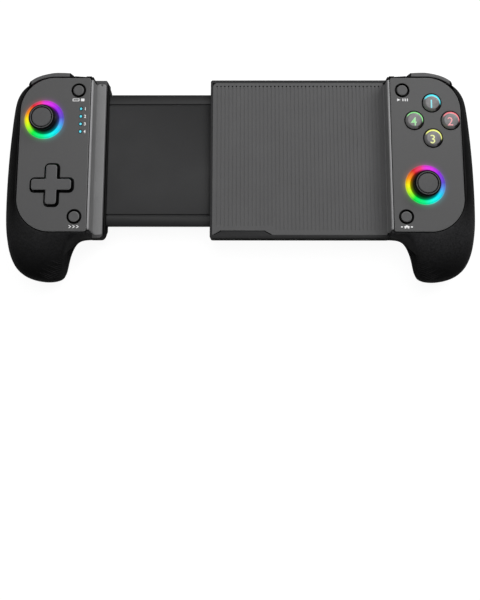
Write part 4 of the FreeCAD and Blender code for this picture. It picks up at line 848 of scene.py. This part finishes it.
def bumper_part(x0, x1):
    """Outline of the bumper between two X values."""
    back = [BUMPER_BACK[0]] + flowing(BUMPER_BACK[1:-1], 10) + [BUMPER_BACK[-1]]
    fine = []
    for (ax, ay), (bx, by) in zip(back, back[1:]):
        fine += [(ax + (bx - ax) * k / 6, ay + (by - ay) * k / 6) for k in range(6)]
    fine = [p for p in fine + [back[-1]] if x0 <= p[0] <= x1]
    front = []
    for k in range(61):
        a = math.radians(92 - k * 0.95)
        reach = BUMPER_REACH + BUMPER_WIDENS * max(0.0, k - 12) / 48
        spot = (PLATE_OUT - PLATE_CORNER + reach * math.cos(a),
                PLATE_BACK - PLATE_CORNER + reach * math.sin(a))
        if x0 <= spot[0] <= x1:
            front.append(spot)
    low = [(x, 55.5) for x in (x0, 96.0, 99.0, 102.0) if x0 <= x < 102.5]
    return fine + [p for p in reversed(low + front) if p[1] < 55.6]


for body, side, sx in UNITS:
    node = side + "_bumper"
    slab(side + "_bumper_bar", [turned(bumper_part(*BUMPER_ENDS), sx)], BUMPER_LOW, 30.7, 0.35, "bumper_grey",
         node, [node], 40, 3)
    slab(side + "_bumper_inner_end", [turned(BUMPER_TIP, sx)], BUMPER_LOW, 30.6, 0.1, "collar_black", node,
         (), 40)
    slab(side + "_bumper_outer_end", [turned(bumper_part(BUMPER_ENDS[1], BUMPER_OUT), sx)], BUMPER_LOW,
         30.5, 0.2, "collar_black", node, (), 40)

# Grip ribs on the hand side of both shells and on the finger face of the triggers


BACK_END = cad_box[1][1] / MM
GRIP_RIBS, GRIP_RIB_PITCH = 15, 1.35
TRIGGER_RIBS, TRIGGER_RIB_PITCH = 4, 1.9


def surface_of(node):
    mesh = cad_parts[node].data
    return BVHTree.FromPolygons([v.co for v in mesh.vertices], [p.vertices[:] for p in mesh.polygons])


def ribs_on(name, node, starts, way, half, high, material, body):
    """Raised ribs laid on a surface. Each start line holds points in mm that are cast along way onto it."""
    tree, way = surface_of(node), Vector(way).normalized()
    verts, faces = [], []
    for line in starts:
        hits = []
        for point in line:
            place, normal, _, _ = tree.ray_cast(Vector(point) * MM, way)
            if place is not None and normal.dot(way) < -0.15:
                hits.append((place / MM, normal))
        if len(hits) < 4:
            continue
        first = len(verts)
        for i, (place, normal) in enumerate(hits):
            along = (hits[min(i + 1, len(hits) - 1)][0] - hits[max(i - 1, 0)][0]).normalized()
            across = along.cross(normal).normalized()
            t = i / (len(hits) - 1)
            w = math.sqrt(max(0.04, min(1.0, 8 * t, 8 * (1 - t))))
            for k in range(ARC + 1):
                a = math.pi * k / ARC
                spot = place + across * (half * w * math.cos(a)) + normal * (high * w * math.sin(a) - 0.04)
                verts.append((spot.x, min(spot.y, BACK_END), spot.z))
        skin(faces, first, len(hits))
    piece(name, verts, faces, material, body, (), 60)


for body, side, sx in UNITS:
    lines = []
    for i in range(GRIP_RIBS):
        y = -66.0 - GRIP_RIB_PITCH * i
        lines.append([(sx * 60.0, y + 9.0 * t, 27.5 - 17.5 * t) for t in [k / 16 for k in range(17)]])
    ribs_on(side + "_grip_ribs", side + "_back_shell", lines, (sx * 0.87, 0.5, 0.0), 0.34, 0.42, "grip_black",
            body)
    lines = [[(sx * (95.6 + 18.4 * k / 20), 80.0, 13.6 - TRIGGER_RIB_PITCH * i) for k in range(21)]
             for i in range(TRIGGER_RIBS)]
    ribs_on(side + "_trigger_ribs", side + "_trigger", lines, (0, -1, 0), 0.36, 0.26, "trigger_black",
            side + "_trigger")

# Everything of the frame that stays on show or inside

def both(*names):
    """Node names of parts that each unit has."""
    return [side + "_" + name for name in names for side in ("left", "right")]


PLAIN = {
    "tray_dark": ["tray_shell", "tray_bottom_cover"],
    "steel": ["tray_screws", "tongue_screws", "plate_screws", "slide_brake_springs", "charging_port"]
    + both("press_switches", "stick_housing", "shoulder_pins", "shell_screws"),
    "slide_pom": ["slide_guide_strips", "dpad_bracket", "dpad_pivot"] + both("stick_gimbal", "stick_rocker"),
    "shell_shaded_left": ["left_back_shell"], "shell_lit_right": ["right_back_shell"], "trigger_black": both("trigger"),
    "circuit_green": both("circuit_board"), "silicone": ["face_button_mat", "dpad_mat"],
    "slide_dark": ["sliding_plate"], "ledge_grey": ["ledge_block"], "collar_black": ["slide_collar"],
    "cell_wrap": ["battery"],
}
for material, name in [(material, name) for material, names in PLAIN.items() for name in names]:
    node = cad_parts[name]
    node.data.materials.clear()
    node.data.materials.append(M[material])
    weld = node.modifiers.new("weld", "WELD")
    weld.merge_threshold = 1e-5
    node.data.polygons.foreach_set("use_smooth", [True] * len(node.data.polygons))
    soft = node.modifiers.new("rounding", "BEVEL")
    soft.width = 0.25 * MM
    soft.segments = 2
    soft.limit_method = "ANGLE"
    soft.angle_limit = math.radians(32)
    soft.use_clamp_overlap = True
    soft.harden_normals = True

repaint(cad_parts["ledge_block"], "collar_black", lambda c, n: n.z < 0.5)
# Painted shade: the tray's front wall is black.
repaint(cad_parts["tray_shell"], "collar_black", lambda c, n: n.z < 0.5 and c.y < -33)

# Stage, light and camera

floor_mesh = bpy.data.meshes.new("floor")
floor_mesh.from_pydata([(-15, -15, 0), (15, -15, 0), (15, 15, 0), (-15, 15, 0)], [], [(0, 1, 2, 3)])
floor = bpy.data.objects.new("floor", floor_mesh)
bpy.context.scene.collection.objects.link(floor)
stage = bpy.data.materials.new("stage_white")
stage.use_nodes = True
nodes, links = stage.node_tree.nodes, stage.node_tree.links
nodes.clear()
out = nodes.new("ShaderNodeOutputMaterial")
rays = nodes.new("ShaderNodeLightPath")
seen = nodes.new("ShaderNodeMath")
seen.operation = "MAXIMUM"
links.new(rays.outputs["Is Camera Ray"], seen.inputs[0])
links.new(rays.outputs["Is Transmission Ray"], seen.inputs[1])
plain = nodes.new("ShaderNodeBsdfDiffuse")
plain.inputs[0].default_value = (0.4, 0.4, 0.4, 1)
shaded = nodes.new("ShaderNodeBsdfDiffuse")
shaded.inputs[0].default_value = (0.2, 0.2, 0.2, 1)
white = nodes.new("ShaderNodeEmission")
white.inputs[1].default_value = 0.93
both = nodes.new("ShaderNodeAddShader")
links.new(shaded.outputs[0], both.inputs[0])
links.new(white.outputs[0], both.inputs[1])
choice = nodes.new("ShaderNodeMixShader")
links.new(seen.outputs[0], choice.inputs[0])
links.new(plain.outputs[0], choice.inputs[1])
links.new(both.outputs[0], choice.inputs[2])
links.new(choice.outputs[0], out.inputs[0])
floor_mesh.materials.append(stage)

world = bpy.data.worlds.new("studio")
bpy.context.scene.world = world
world.use_nodes = True
nodes, links = world.node_tree.nodes, world.node_tree.links
nodes.clear()
out = nodes.new("ShaderNodeOutputWorld")
rays = nodes.new("ShaderNodeLightPath")
soft_light = nodes.new("ShaderNodeBackground")
soft_light.inputs[0].default_value = (1, 1, 1, 1)
soft_light.inputs[1].default_value = 0.12
seen_white = nodes.new("ShaderNodeBackground")
seen_white.inputs[0].default_value = (1, 1, 1, 1)
choice = nodes.new("ShaderNodeMixShader")
links.new(rays.outputs["Is Camera Ray"], choice.inputs[0])
links.new(soft_light.outputs[0], choice.inputs[1])
links.new(seen_white.outputs[0], choice.inputs[2])
links.new(choice.outputs[0], out.inputs[0])


def lamp(name, spot, aim, size, power):
    light = bpy.data.lights.new(name, "AREA")
    light.shape = "RECTANGLE"
    light.size, light.size_y = size
    light.energy = power
    obj = bpy.data.objects.new(name, light)
    obj.location = spot
    obj.rotation_euler = (Vector(aim) - Vector(spot)).to_track_quat("-Z", "Y").to_euler()
    bpy.context.scene.collection.objects.link(obj)


lamp("key", (0.5, 0.5, 0.6), (0, 0.02, 0.02), (0.5, 0.4), 2.9)
lamp("top", (0.0, 0.3, 1.0), (0, 0.02, 0.02), (0.9, 0.6), 3.9)
lamp("fill", (-0.6, -0.3, 0.7), (0, 0, 0.02), (0.8, 0.8), 0.5)

lens = bpy.data.cameras.new("camera")
lens.sensor_width = 36.0
lens.lens = 47.94
lens.shift_y = -0.2033
camera = bpy.data.objects.new("camera", lens)
camera.location = (0.0025, -0.0793, 0.4611)
camera.rotation_euler = (math.radians(10.17), math.radians(0.325), math.radians(0.085))
bpy.context.scene.collection.objects.link(camera)
bpy.context.scene.camera = camera

scene = bpy.context.scene
scene.view_settings.view_transform = "Standard"
